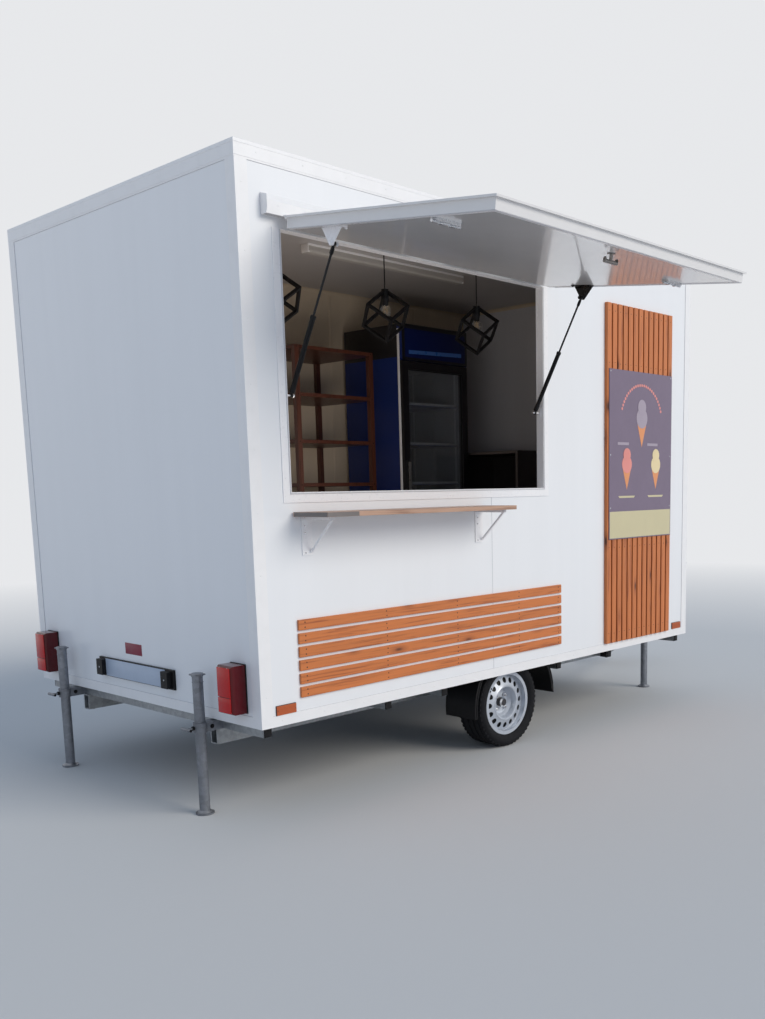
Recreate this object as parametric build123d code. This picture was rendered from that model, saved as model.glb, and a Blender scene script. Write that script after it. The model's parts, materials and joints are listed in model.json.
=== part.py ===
from build123d import *
import os
from math import atan2, cos, degrees, hypot, pi, radians, sin, sqrt

# A single-axle ice cream vending trailer with its serving hatch up, in millimetres.
# +X runs forward to the coupling, +Y to the far side, +Z up. The ground is z = 0, and the
# origin lies on it under the middle of the whole outline, hatch and drawbar included.
# START and FROM_REAR values run forward from the rear wall's outer face, BESIDE ones inward
# from the serving side's outer face, and UP ones upward from the body's lower edge.

os.makedirs("parts", exist_ok=True)

# Body shell
BODY_LENGTH = 3550.0
BODY_WIDTH = 2030.0
BODY_HEIGHT = 2400.0
EDGE_HEIGHT = 430.0        # ground to the lower edge of the body
WALL = 40.0                # sandwich panel of the walls, roof and floor
PROFILE = 3.0              # wall thickness of the white edge profiles
ROOF_RAIL_HEIGHT = 72.0
CORNER_LEG = 62.0
SILL_RAIL_HEIGHT = 48.0
EDGE_ROUND = 2.0

# Serving opening and hatch
OPENING_START = 214.0
OPENING_LENGTH = 1756.0
OPENING_SILL_UP = 1010.0
OPENING_FROM_TOP = 312.0   # body's top down to the upper edge of the opening
OPENING_FLANGE = 45.0
FLANGE_THICKNESS = 4.0
LINER = 3.0
HATCH_THICKNESS = 48.0
HATCH_SEAL_GAP = 5.0       # closed hatch to the opening's flange
HATCH_OVERLAP = 8.0        # how far its core covers the flange at each side
HATCH_BELOW_SILL = 31.0
HATCH_OPEN_DEG = 83.2      # from closed to the pose shown
SKIN = 8.0
SKIN_LIP = 12.0
KNUCKLE_RADIUS = 6.0
HINGE_PIN_RADIUS = 2.5
HINGE_PIN_CLEARANCE = 0.06
HINGE_KNUCKLES = 7
HINGE_LEAF = 4.0
KNUCKLE_SIDE_GAP = 1.0
HINGE_ABOVE_OPENING = 35.0
HINGE_ABOVE_CORE = 11.0
HINGE_RAIL_HEIGHT = 85.0
HINGE_RAIL_FRONT = 52.0    # height of the rail's upright front
HINGE_RAIL_DEPTH = 36.0
HINGE_RAIL_WALL = 4.0
HINGE_RAIL_ABOVE_PIN = 8.0
HINGE_RAIL_PAST = 92.0     # how far the rail runs past the opening at each end

# Latches and pull inside the hatch, with distances along it from its hinge
LATCH_INSET = 88.0
LATCH_ALONG = 823.0
LATCH_LENGTH = 130.0
LATCH_WIDTH = 34.0
LATCH_HEIGHT = 12.0
LATCH_BOLT_LENGTH = 152.0
LATCH_BOLT_RADIUS = 6.0
PULL_ALONG = 1012.0
PULL_OUT = 34.0
PULL_LENGTH = 90.0
PULL_STEM_RADIUS = 7.0
PULL_RADIUS = 8.0

# Gas struts
STRUT_INSET = 40.0
STRUT_FOOT_FROM_TOP = 668.0    # opening's upper edge down to the foot stud
STRUT_FOOT_DEPTH = 25.0    # inward from the wall's face
STRUT_FOOT_PLATE = 26.0
STRUT_FOOT_SHEET = 3.0
STRUT_HEAD_ALONG = 255.0   # along the hatch from its hinge
STRUT_HEAD_DEPTH = 104.0   # inward from the hinge when closed
STRUT_BRACKET_SHEET = 4.0
STRUT_BRACKET_LENGTH = 124.0
STRUT_BRACKET_BESIDE = 6.0     # side of the rod's eye to the bracket's ear
STRUT_BRACKET_FOOT = 14.0
STRUT_TUBE_RADIUS = 11.0
STRUT_TUBE_LENGTH = 354.0
STRUT_ROD_RADIUS = 5.0
STRUT_ROD_CLEARANCE = 0.08
STRUT_EYE_RADIUS = 9.0
STRUT_EYE_WIDTH = 12.0
STRUT_STUD_RADIUS = 4.0
STRUT_STUD_CLEARANCE = 0.08
STRUT_END_WALL = 6.0

# Folding serving shelf
SHELF_START = 214.0
SHELF_LENGTH = 1236.0
SHELF_DEPTH = 235.0
SHELF_BOARD = 20.0
SHELF_TOP_UP = 925.0
SHELF_BRACKETS = (62.0, 1196.0)    # along the shelf from its rear end
SHELF_ARM_LENGTH = 190.0
SHELF_ARM_WIDTH = 24.0
SHELF_ARM_HEIGHT = 14.0
SHELF_PIN_RADIUS = 3.0
SHELF_PIN_CLEARANCE = 0.08
SHELF_PIN_FROM_WALL = 17.0
SHELF_WALL_GAP = 8.0
SHELF_PLATE = 5.0
SHELF_PLATE_BELOW = 18.0   # stay's pin to the plate's lower end
SHELF_LUG = 5.0
STAY_DROP = 145.0          # shelf's pin down to the stay's pin
STAY_FROM_WALL = 11.0
STAY_REACH = 165.0
STAY_WIDTH = 10.0
STAY_THICKNESS = 6.0
STAY_BESIDE = 30.0         # along the shelf from the arm
STAY_REST_GAP = 0.3

# Wheels and axle
AXLE_FROM_REAR = 1718.0
TYRE_RADIUS = 245.0
TYRE_WIDTH = 180.0
TYRE_SHELL = 11.0
TYRE_FROM_WALL = 8.0       # inner face of the side wall to the tyre
RIM_SEAT_RADIUS = 165.0
RIM_FLANGE_RADIUS = 178.0
RIM_WIDTH = 140.0
RIM_SHEET = 5.0
RIM_WELL_RADIUS = 148.0
RIM_SLOTS = 16
RIM_SLOT_LENGTH = 31.0
RIM_SLOT_WIDTH = 14.0
RIM_SLOT_CIRCLE = 126.0
DISC_RIDGE_INNER = 86.0
DISC_RIDGE_OUTER = 108.0
DISC_RISE = 20.0
HUB_FACE = 6.0             # outward from the wheel's middle plane
HUB_RADIUS = 72.0
DRUM_RADIUS = 104.0
DRUM_WALL = 8.0
DRUM_INNER = 52.0          # inward from the wheel's middle plane
HUB_NECK = 34.0
HUB_BACK = 44.0
SPIGOT_RADIUS = 28.5
CAP_RADIUS = 26.0
CAP_LENGTH = 40.0
CAP_WALL = 4.0
STUB_RADIUS = 17.5
STUB_COLLAR_RADIUS = 27.5
STUB_CLEARANCE = 0.08
STUB_LENGTH = 124.0
ARM_FROM_WHEEL = 112.0     # wheel's middle plane to the arm's outer face
ARM_THICKNESS = 28.0
ARM_LENGTH = 145.0
ARM_END_RADIUS = 38.0
AXLE_TUBE = 60.0
AXLE_PLATE = 5.0
AXLE_PLATE_LENGTH = 150.0
AXLE_PLATE_SPARE = 20.0
BACKPLATE = 4.0
BACKPLATE_GAP = 3.0
BACKPLATE_RADIUS = 108.0

# Mudguards and wheel boxes
GUARD_RADIUS = 350.0
GUARD_FORWARD = 45.0       # wheel's centre to the mudguard's
GUARD_SHEET = 4.0
GUARD_WIDTH = 215.0
GUARD_FROM_WALL = 3.0
GUARD_DROP_REAR = 40.0     # how far the ends reach below the wheel's centre
GUARD_DROP_FRONT = 2.0
GUARD_POINT = 34.0
GUARD_PAD = 70.0
GUARD_PAD_HEIGHT = 6.0
GUARD_LIP = 18.0
BOX_SHEET = 6.0
BOX_SPARE = 20.0

# Chassis
CROSS_HEIGHT = 50.0
CROSS_WIDTH = 40.0
CROSS_WALL = 4.0
CROSS_PLACES = (60.0, 780.0, 1180.0, 2160.0, 2684.0, 3490.0)
RAIL_HEIGHT = 80.0
RAIL_WIDTH = 50.0
RAIL_WALL = 5.0
RAIL_BESIDE_CENTRE = 600.0
RAIL_START = 30.0
RAIL_BEND = 3200.0
NOSE_HALF_WIDTH = 30.0      # middle line to the inner face of a rail's end
DRAWBAR_REACH = 1250.0     # front wall to the tip of the coupling
NOSE_BACK = 420.0          # coupling's tip to the rear of the nose box
NOSE_FRONT = 210.0
NOSE_SHEET = 8.0
NOSE_OVERHANG = 27.0       # rail's line to the side of the nose's end plate
SADDLE_WIDTH = 80.0
SADDLE_LENGTH = 30.0
SADDLE_FROM_END = 20.0
COUPLING_TUBE_RADIUS = 25.0
COUPLING_BALL_DROP = 8.0
COUPLING_BORE_LENGTH = 25.0
COUPLING_BALL_RADIUS = 25.5
COUPLING_SEAT_RADIUS = 24.0
COUPLING_SHELL = 8.0
COUPLING_SKIRT = 18.0
COUPLING_NECK = 58.0
COUPLING_NECK_FRONT = 46.0
COUPLING_NECK_BACK = 40.0
LEVER_WIDTH = 26.0

# Prop stands
STAND_RADIUS = 24.0
STAND_WALL = 3.0
STAND_BESIDE_CENTRE = 640.0
STAND_FROM_WALL = 65.0
STAND_TOP_UP = 216.0
FOOT_RADIUS = 42.0
FOOT_THICKNESS = 5.0
CLAMP_WALL = 8.0
CLAMP_HEIGHT = 44.0
CLAMP_CLEARANCE = 0.08
BRACKET_WIDTH = 50.0
STAND_CAP = 52.0
STAND_CAP_HEIGHT = 6.0
HANDLE_REACH = 78.0        # from the stand's centre to the end of its clamp handle
HANDLE_BAR = 70.0
HANDLE_RADIUS = 7.0
SCREW_RADIUS = 5.0

# Jockey wheel on the far rail of the drawbar
JOCKEY_FROM_REAR = 4330.0
JOCKEY_TUBE_LENGTH = 520.0
JOCKEY_RAISED = 76.0
JOCKEY_FROM_RAIL = 42.0
JOCKEY_TUBE_BELOW = 5.5
JOCKEY_BUSH = 30.0
JOCKEY_CRANK = 95.0
JOCKEY_WHEEL_RADIUS = 100.0
JOCKEY_WHEEL_WIDTH = 60.0
JOCKEY_TRAIL = 45.0
JOCKEY_STEM_RADIUS = 14.0
JOCKEY_STEM_GAP = 0.5
JOCKEY_CROWN = 8.0
JOCKEY_CROWN_BACK = 22.0
JOCKEY_CROWN_FRONT = 24.0
JOCKEY_CHEEK = 5.0
JOCKEY_CHEEK_GAP = 6.0
JOCKEY_PIN_RADIUS = 8.0
JOCKEY_PIN_HEAD = 4.0
JOCKEY_PIN_CLEARANCE = 0.08
JOCKEY_HUB_RADIUS = 22.0
JOCKEY_WEB_RADIUS = 66.0
JOCKEY_WEB = 20.0
JOCKEY_CLAMP_UP = 18.0     # underside of the rail to the clamp
JOCKEY_CLAMP_LENGTH = 50.0
CRANK_SHAFT_RADIUS = 10.0
CRANK_RADIUS = 7.0
CRANK_HANDLE_RADIUS = 11.0
CRANK_RISE = 18.0
CRANK_HANDLE = 83.0

# Entrance door on the far side
DOOR_START = 400.0
DOOR_LENGTH = 750.0
DOOR_SILL_UP = 86.0
DOOR_HEIGHT = 1930.0
DOOR_GAP = 6.0
DOOR_THICKNESS = 42.0
DOOR_LIP = 15.0
DOOR_LIP_SHEET = 3.0
DOOR_SEAL_GAP = 5.0
DOOR_FLANGE = 34.0
DOOR_PIN_RADIUS = 4.0
DOOR_KNUCKLE_RADIUS = 7.5
DOOR_KNUCKLE_HEIGHT = 45.0
DOOR_PIN_OUT = 16.0
DOOR_PIN_BACK = 26.0
DOOR_PIN_CLEARANCE = 0.08
DOOR_KNUCKLE_GAP = 0.5
DOOR_HINGE_INSET = 240.0
DOOR_STRAP = 90.0
DOOR_STRAP_SHEET = 4.0
DOOR_HANDLE_UP = 980.0     # threshold to the handle
DOOR_HANDLE_INSET = 70.0
DOOR_HANDLE_LENGTH = 110.0
DOOR_HANDLE_RADIUS = 8.0
DOOR_HANDLE_PLATE = (44.0, 180.0, 6.0)
FAR_REACH = 55.0           # far wall's outer face to the end of the door handle

# Cladding, lamps and plate
BOARD_START = 214.0
BOARD_END = 2120.0
BOARD_COUNT = 6
BOARD_WIDTH = 47.0
BOARD_SPACE = 13.0
BOARD_BOTTOM_UP = 108.0
BOARD_THICKNESS = 12.0
SLAT_START = 2568.0
SLAT_COUNT = 13
SLAT_WIDTH = 44.0
SLAT_SPACE = 13.0
SLAT_THICKNESS = 22.0
SLAT_BOTTOM_UP = 50.0
SLAT_FROM_TOP = 317.0      # body's top down to the slats
POSTER_INSET = 14.0
POSTER_BOTTOM_UP = 690.0
POSTER_TOP_UP = 1705.0
POSTER_THICKNESS = 5.0
LAMP_DEPTH = 80.0
LAMP_WIDTH = 108.0
LAMP_HEIGHT = 214.0
LAMP_BESIDE = 100.0
LAMP_BOTTOM_UP = 62.0
LAMP_ROUND = 18.0
PLATE_LENGTH = 520.0
PLATE_HEIGHT = 96.0
PLATE_BOTTOM_UP = 94.0
HOLDER_LENGTH = 700.0
HOLDER_DEPTH = 12.0
HOLDER_ROUND = 4.0
PLATE_THICKNESS = 2.0
PLATE_MARGIN = 4.0
PLATE_LAMP_INSET = 45.0
PLATE_LAMP_WIDTH = 56.0
PLATE_LAMP_DEPTH = 26.0
PLATE_LAMP_MARGIN = 8.0
MARKER_LENGTH = 104.0
MARKER_HEIGHT = 40.0
MARKER_UP = 50.0
MARKER_DEPTH = 8.0
MARKER_INSET = 18.0        # corner profile to the marker

# Inside
COUNTER_START = 110.0
COUNTER_LENGTH = 2500.0
COUNTER_DEPTH = 480.0
COUNTER_TOP_UP = 1000.0
COUNTER_BOARD = 28.0
COUNTER_SIDE = 18.0        # thickness of its uprights and of its shelf
COUNTER_BOX_GAP = 60.0     # wheel box to the uprights beside it
COUNTER_TOE = 20.0
COUNTER_SHELF_UP = 420.0
CABINET_START = 2960.0
CABINET_BESIDE = 1000.0
CABINET_WIDTH = 700.0
CABINET_TOP_UP = 1270.0
CABINET_BOARD = 20.0
CABINET_SHELVES_UP = (420.0, 900.0)
RACK_START = 1390.0
RACK_LENGTH = 630.0
RACK_DEPTH = 560.0
RACK_TOP_UP = 1885.0
RACK_POST = 32.0
RACK_BOARD = 22.0
RACK_SHELVES_UP = (280.0, 540.0, 800.0, 1062.0, 1325.0, 1605.0)
FRIDGE_START = 2240.0
FRIDGE_LENGTH = 630.0
FRIDGE_BACK_GAP = 37.0     # cooler to the far wall
FRIDGE_DEPTH = 570.0
FRIDGE_TOP_UP = 2090.0
FRIDGE_WALL = 42.0
FRIDGE_HEADER = 230.0
FRIDGE_BASE = 190.0
FRIDGE_LINING = 20.0
FRIDGE_SHELF_SETBACK = 25.0
FRIDGE_SHELVES = 5
FRIDGE_SHELF = 8.0
FRIDGE_DOOR = 38.0
FRIDGE_DOOR_STILE = 52.0
FRIDGE_DOOR_GAP = 6.0
FRIDGE_GLASS = 6.0
FRIDGE_PIN_RADIUS = 4.0
FRIDGE_PIN_INSET = 8.0
FRIDGE_PIN_REACH = 30.0
FRIDGE_PIN_CLEARANCE = 0.08
FRIDGE_PANE_DEPTH = 14.0
FRIDGE_PULL_INSET = 12.0
FRIDGE_PULL_WIDTH = 18.0
FRIDGE_PULL_OUT = 25.0
FRIDGE_PULL_HEIGHT = 320.0
BATTEN_START = 1180.0
BATTEN_LENGTH = 1250.0
BATTEN_BESIDE = 1030.0
BATTEN_WIDTH = 62.0
BATTEN_DEPTH = 48.0
BATTEN_ROUND = 14.0
PENDANT_PLACES = (480.0, 1175.0, 1880.0)
PENDANT_BESIDE = 400.0
PENDANT_DROP = 460.0       # ceiling down to the cage's centre
CAGE_EDGE = 160.0
CAGE_BAR = 14.0
HOLDER_RADIUS = 19.0
LAMP_HOLDER_HEIGHT = 58.0
FLEX_RADIUS = 3.0
ROSE_RADIUS = 45.0
ROSE_HEIGHT = 22.0
BULB_RADIUS = 30.0
BULB_NECK_RADIUS = 13.0
BULB_NECK = 40.0

# The hatch's outline, first closed and then turned up about its hinge
hatch_turn = radians(HATCH_OPEN_DEG)
opening_top_up = BODY_HEIGHT - OPENING_FROM_TOP
hinge_up = opening_top_up + HINGE_ABOVE_OPENING
hatch_length = hinge_up - HINGE_ABOVE_CORE - OPENING_SILL_UP + HATCH_BELOW_SILL
hinge_to_tip = HINGE_ABOVE_CORE + hatch_length + SKIN_LIP
hatch_proud = HATCH_THICKNESS + FLANGE_THICKNESS + HATCH_SEAL_GAP
hinge_proud = hatch_proud - KNUCKLE_RADIUS
hatch_tip = hinge_proud - PROFILE + hinge_to_tip * sin(hatch_turn) + KNUCKLE_RADIUS * cos(hatch_turn)

# Places in the part's own frame
REAR_REACH = STAND_FROM_WALL + HANDLE_REACH
x_rear = REAR_REACH - (REAR_REACH + BODY_LENGTH + DRAWBAR_REACH) / 2
x_front = x_rear + BODY_LENGTH
x_tip = x_front + DRAWBAR_REACH
y_serve = hatch_tip - (hatch_tip + BODY_WIDTH + FAR_REACH) / 2
y_far = y_serve + BODY_WIDTH
y_mid = (y_serve + y_far) / 2
z_edge = EDGE_HEIGHT
z_top = z_edge + BODY_HEIGHT
z_floor = z_edge + WALL
z_ceiling = z_top - PROFILE - WALL
serve_face = y_serve + PROFILE
far_face = y_far - PROFILE
serve_inside = serve_face + WALL
far_inside = far_face - WALL
rear_face = x_rear + PROFILE
front_face = x_front - PROFILE
rear_inside = rear_face + WALL
front_inside = front_face - WALL
hinge_y = serve_face - hinge_proud
hinge_z = z_edge + hinge_up
x_axle = x_rear + AXLE_FROM_REAR
z_cross = z_edge - CROSS_HEIGHT
z_rail = z_cross - RAIL_HEIGHT


def block(x0, x1, y0, y1, z0, z1):
    """A box between two corners."""
    return Pos((x0 + x1) / 2, (y0 + y1) / 2, (z0 + z1) / 2) * Box(x1 - x0, y1 - y0, z1 - z0)


def rod(start, end, radius):
    """A round bar between two points."""
    a, b = Vector(*start), Vector(*end)
    way = b - a
    return Plane(origin=a, z_dir=way) * Cylinder(
        radius, way.length, align=(Align.CENTER, Align.CENTER, Align.MIN)
    )


def prism_x(points, x0, x1):
    """Points in Y and Z, drawn out along X."""
    return extrude(Plane.YZ.offset(x0) * make_face(Polyline(*points, close=True)), amount=x1 - x0)


def prism_y(points, y0, y1):
    """Points in X and Z, drawn out along Y."""
    return extrude(Plane.XZ.offset(-y1) * make_face(Polyline(*points, close=True)), amount=y1 - y0)


def prism_z(points, z0, z1):
    """Points in X and Y, drawn out along Z."""
    return extrude(Plane.XY.offset(z0) * make_face(Polyline(*points, close=True)), amount=z1 - z0)


def turned(points, x, y, z, side=1):
    """Points of radius and width, turned about a line along Y through a point."""
    face = make_face(Polyline(*[(r, side * w) for r, w in points], close=True))
    return Pos(x, y, z) * revolve(face, Axis.Y)


def save(name, shape):
    """Write one node."""
    shape.label = name
    export_step(shape, f"parts/{name}.step")


def together(solids):
    """Solids of one node that don't touch."""
    return Compound(children=[s for shape in solids for s in shape.solids()])


# Panels of the body
def side_wall(y0, y1):
    return block(rear_face, front_face, y0, y1, z_edge + PROFILE, z_ceiling)


def end_wall(x0, x1):
    return block(x0, x1, serve_inside, far_inside, z_edge + PROFILE, z_ceiling)


opening_x = (x_rear + OPENING_START, x_rear + OPENING_START + OPENING_LENGTH)
opening_z = (z_edge + OPENING_SILL_UP, z_edge + opening_top_up)
door_x = (x_rear + DOOR_START, x_rear + DOOR_START + DOOR_LENGTH)
door_z = (z_edge + DOOR_SILL_UP, z_edge + DOOR_SILL_UP + DOOR_HEIGHT)


def cut_out(x_range, z_range, y0, y1, grow):
    """The hole for an opening, larger by its liner."""
    return block(x_range[0] - grow, x_range[1] + grow, y0, y1, z_range[0] - grow, z_range[1] + grow)


def surround(x_range, z_range, face, out, inside, flange, proud):
    """A liner through the wall with a flange on its outer face. out is -1 or 1, the outward way."""
    y_out = face + out * proud
    y_in = inside - out * LINER
    ring = cut_out(x_range, z_range, min(y_out, face), max(y_out, face), flange)
    liner = cut_out(x_range, z_range, min(y_out, y_in), max(y_out, y_in), LINER)
    hole = cut_out(x_range, z_range, min(y_out, y_in) - 1, max(y_out, y_in) + 1, 0)
    return ring + liner - hole


save("serving_wall", side_wall(serve_face, serve_inside)
     - cut_out(opening_x, opening_z, serve_face - 1, serve_inside + 1, LINER))
save("far_wall", side_wall(far_inside, far_face)
     - cut_out(door_x, door_z, far_inside - 1, far_face + 1, LINER))
save("rear_wall", end_wall(rear_face, rear_inside))
save("front_wall", end_wall(front_inside, front_face))
save("roof_panel", block(rear_face, front_face, serve_face, far_face, z_ceiling, z_top - PROFILE))

# Floor with its two wheel boxes
z_wheel = TYRE_RADIUS
x_guard = x_axle + GUARD_FORWARD
guard_top = z_wheel + GUARD_RADIUS
box_half = GUARD_RADIUS + BOX_SPARE
box_reach = GUARD_FROM_WALL + GUARD_WIDTH + BOX_SPARE
floor_panel = block(rear_inside, front_inside, serve_inside, far_inside, z_edge, z_floor)
for wall_y, inward in ((serve_inside, 1), (far_inside, -1)):
    well_y = sorted((wall_y, wall_y + inward * box_reach))
    cap_y = sorted((wall_y, wall_y + inward * (box_reach + BOX_SHEET)))
    floor_panel += block(x_guard - box_half - BOX_SHEET, x_guard + box_half + BOX_SHEET,
                         *cap_y, z_floor, guard_top + BOX_SHEET)
    floor_panel -= block(x_guard - box_half, x_guard + box_half, *well_y, z_edge - 1, guard_top)
save("floor_panel", floor_panel)

# White edge profiles
roof_rail = block(x_rear, x_front, y_serve, y_far, z_top - ROOF_RAIL_HEIGHT, z_top)
roof_rail = fillet(roof_rail.edges().group_by(Axis.Z)[-1], EDGE_ROUND)
roof_rail -= block(rear_face, front_face, serve_face, far_face,
                   z_top - ROOF_RAIL_HEIGHT - 1, z_top - PROFILE)
roof_rail -= block(x_rear + CORNER_LEG, x_front - CORNER_LEG, y_serve + CORNER_LEG, y_far - CORNER_LEG,
                   z_top - PROFILE - 1, z_top + 1)
save("roof_profile", roof_rail)

sill_rail = block(x_rear, x_front, y_serve, y_far, z_edge, z_edge + SILL_RAIL_HEIGHT)
sill_rail -= block(rear_face, front_face, serve_face, far_face,
                   z_edge + PROFILE, z_edge + SILL_RAIL_HEIGHT + 1)
sill_rail -= block(rear_inside, front_inside, serve_inside, far_inside, z_edge - 1, z_edge + PROFILE + 1)
save("sill_profile", sill_rail)

corner_posts = []
for corner_x, way_x in ((x_rear, 1), (x_front, -1)):
    for corner_y, way_y in ((y_serve, 1), (y_far, -1)):
        post = prism_z(
            [
                (corner_x, corner_y),
                (corner_x + way_x * CORNER_LEG, corner_y),
                (corner_x + way_x * CORNER_LEG, corner_y + way_y * PROFILE),
                (corner_x + way_x * PROFILE, corner_y + way_y * PROFILE),
                (corner_x + way_x * PROFILE, corner_y + way_y * CORNER_LEG),
                (corner_x, corner_y + way_y * CORNER_LEG),
            ],
            z_edge + SILL_RAIL_HEIGHT,
            z_top - ROOF_RAIL_HEIGHT,
        )
        outer = post.edges().filter_by(Axis.Z).sort_by_distance((corner_x, corner_y, post.center().Z))[0]
        corner_posts.append(fillet(outer, EDGE_ROUND))
save("corner_profiles", together(corner_posts))

# Serving opening's frame, with the plates that carry the struts
strut_x = (opening_x[0] + STRUT_INSET, opening_x[1] - STRUT_INSET)
strut_foot = (serve_face + STRUT_FOOT_DEPTH, opening_z[1] - STRUT_FOOT_FROM_TOP)
opening_frame = surround(opening_x, opening_z, serve_face, -1, serve_inside,
                         OPENING_FLANGE, FLANGE_THICKNESS)
opening_frame -= block(opening_x[0] - OPENING_FLANGE - 1, opening_x[1] + OPENING_FLANGE + 1,
                       serve_face - FLANGE_THICKNESS - 1, serve_face, opening_z[1] + LINER, z_top)
for jamb_x, middle_x, way in ((opening_x[0], strut_x[0], 1), (opening_x[1], strut_x[1], -1)):
    plate_x = sorted((jamb_x, jamb_x + way * STRUT_FOOT_SHEET))
    plate = block(*plate_x, strut_foot[0] - STRUT_FOOT_PLATE / 2,
                  strut_foot[0] + STRUT_FOOT_PLATE / 2 - STRUT_STUD_RADIUS,
                  strut_foot[1] - STRUT_FOOT_PLATE, strut_foot[1] + STRUT_FOOT_PLATE)
    stud_end = middle_x + way * STRUT_EYE_WIDTH / 2
    stud = rod((jamb_x, *strut_foot), (stud_end, *strut_foot), STRUT_STUD_RADIUS)
    opening_frame += plate + stud
save("opening_frame", opening_frame)


# Hinge rail over the hatch, with its share of the knuckles and the pin
hatch_x = (opening_x[0] - HATCH_OVERLAP, opening_x[1] + HATCH_OVERLAP)
knuckle_pitch = (hatch_x[1] - hatch_x[0]) / HINGE_KNUCKLES


def knuckle_span(index):
    first = hatch_x[0] + index * knuckle_pitch + KNUCKLE_SIDE_GAP / 2
    return first, first + knuckle_pitch - KNUCKLE_SIDE_GAP


def rail_section(inset, low):
    """Outline of the hinge rail in Y and Z, smaller by its wall. Its back lies on the body."""
    front = serve_face - HINGE_RAIL_DEPTH + inset
    return [
        (serve_face - inset, low),
        (front, low),
        (front, rail_low + HINGE_RAIL_FRONT - inset),
        (serve_face - inset, rail_low + HINGE_RAIL_HEIGHT - 2 * inset),
    ]


rail_x = (opening_x[0] - HINGE_RAIL_PAST, opening_x[1] + HINGE_RAIL_PAST)
rail_low = hinge_z + HINGE_RAIL_ABOVE_PIN
hinge_rail = prism_x(rail_section(0, rail_low), *rail_x)
hinge_rail -= prism_x(rail_section(HINGE_RAIL_WALL, rail_low - 1),
                      rail_x[0] + HINGE_RAIL_WALL, rail_x[1] - HINGE_RAIL_WALL)
leaf_y = (hinge_y - HINGE_LEAF / 2, hinge_y + HINGE_LEAF / 2)
for index in range(0, HINGE_KNUCKLES, 2):
    span = knuckle_span(index)
    hinge_rail += rod((span[0], hinge_y, hinge_z), (span[1], hinge_y, hinge_z), KNUCKLE_RADIUS)
    hinge_rail += block(*span, *leaf_y, hinge_z, rail_low + HINGE_LEAF)
    hinge_rail += block(*span, leaf_y[0], serve_face - HINGE_RAIL_DEPTH + HINGE_RAIL_WALL,
                        rail_low, rail_low + HINGE_LEAF)
hinge_rail += rod((knuckle_span(0)[0], hinge_y, hinge_z),
                  (knuckle_span(HINGE_KNUCKLES - 1)[1], hinge_y, hinge_z), HINGE_PIN_RADIUS)
save("hatch_hinge_rail", hinge_rail)


# Hatch, built closed and turned up to the pose shown
def turned_up(shape):
    return Pos(0, hinge_y, hinge_z) * Rot(-HATCH_OPEN_DEG, 0, 0) * Pos(0, -hinge_y, -hinge_z) * shape


def up_point(inward, down):
    """Where a point of the hatch lies when it is up. inward and down are from the hinge, closed."""
    turn = -hatch_turn
    y, z = inward, -down
    return hinge_y + y * cos(turn) - z * sin(turn), hinge_z + y * sin(turn) + z * cos(turn)


skin_y = serve_face - hatch_proud
core_top = hinge_z - HINGE_ABOVE_CORE
core_bottom = core_top - hatch_length
hatch = block(*hatch_x, skin_y + SKIN, skin_y + HATCH_THICKNESS, core_bottom, core_top)
hatch += block(hatch_x[0] - SKIN_LIP, hatch_x[1] + SKIN_LIP, skin_y, skin_y + SKIN,
               core_bottom - SKIN_LIP, core_top)
for index in range(1, HINGE_KNUCKLES, 2):
    span = knuckle_span(index)
    leaf = block(*span, skin_y, skin_y + HINGE_LEAF, core_top, hinge_z)
    hatch += rod((span[0], hinge_y, hinge_z), (span[1], hinge_y, hinge_z), KNUCKLE_RADIUS) + leaf
hatch -= rod((hatch_x[0] - 1, hinge_y, hinge_z), (hatch_x[1] + 1, hinge_y, hinge_z),
             HINGE_PIN_RADIUS + HINGE_PIN_CLEARANCE)
save("hatch_panel", turned_up(hatch))

# Strut brackets, latches and pull on the hatch's inner face
hatch_inner = skin_y + HATCH_THICKNESS
head_y = hinge_y + STRUT_HEAD_DEPTH
head_z = hinge_z - STRUT_HEAD_ALONG
bracket_half = STRUT_BRACKET_LENGTH / 2
ear_beside = STRUT_EYE_WIDTH / 2 + STRUT_BRACKET_BESIDE
fittings = []
for middle_x, way in ((strut_x[0], 1), (strut_x[1], -1)):
    ear_x = (middle_x - way * (ear_beside + STRUT_BRACKET_SHEET), middle_x - way * ear_beside)
    ear = prism_x(
        [
            (hatch_inner, head_z - bracket_half),
            (hatch_inner, head_z + bracket_half),
            (head_y + STRUT_EYE_RADIUS, head_z + STRUT_EYE_RADIUS),
            (head_y + STRUT_EYE_RADIUS, head_z - STRUT_EYE_RADIUS),
        ],
        *sorted(ear_x),
    )
    foot_x = sorted((ear_x[0], middle_x + way * STRUT_BRACKET_FOOT))
    foot = block(*foot_x, hatch_inner, hatch_inner + STRUT_BRACKET_SHEET,
                 head_z - bracket_half, head_z + bracket_half)
    stud = rod((ear_x[1], head_y, head_z), (middle_x - way * (STRUT_EYE_WIDTH / 2 + 0.5), head_y, head_z),
               STRUT_EYE_RADIUS)
    fittings.append(ear + foot + stud)
latch_z = hinge_z - LATCH_ALONG
bolt_y = hatch_inner + LATCH_HEIGHT
for latch_x in (opening_x[0] + LATCH_INSET, opening_x[1] - LATCH_INSET):
    base = block(latch_x - LATCH_LENGTH / 2, latch_x + LATCH_LENGTH / 2, hatch_inner, bolt_y,
                 latch_z - LATCH_WIDTH / 2, latch_z + LATCH_WIDTH / 2)
    bolt = rod((latch_x - LATCH_BOLT_LENGTH / 2, bolt_y, latch_z),
               (latch_x + LATCH_BOLT_LENGTH / 2, bolt_y, latch_z), LATCH_BOLT_RADIUS)
    fittings.append(base + bolt)
pull_x = (opening_x[0] + opening_x[1]) / 2
pull_y = hatch_inner + PULL_OUT
pull_z = hinge_z - PULL_ALONG
pull = rod((pull_x, hatch_inner, pull_z), (pull_x, pull_y, pull_z), PULL_STEM_RADIUS)
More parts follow.
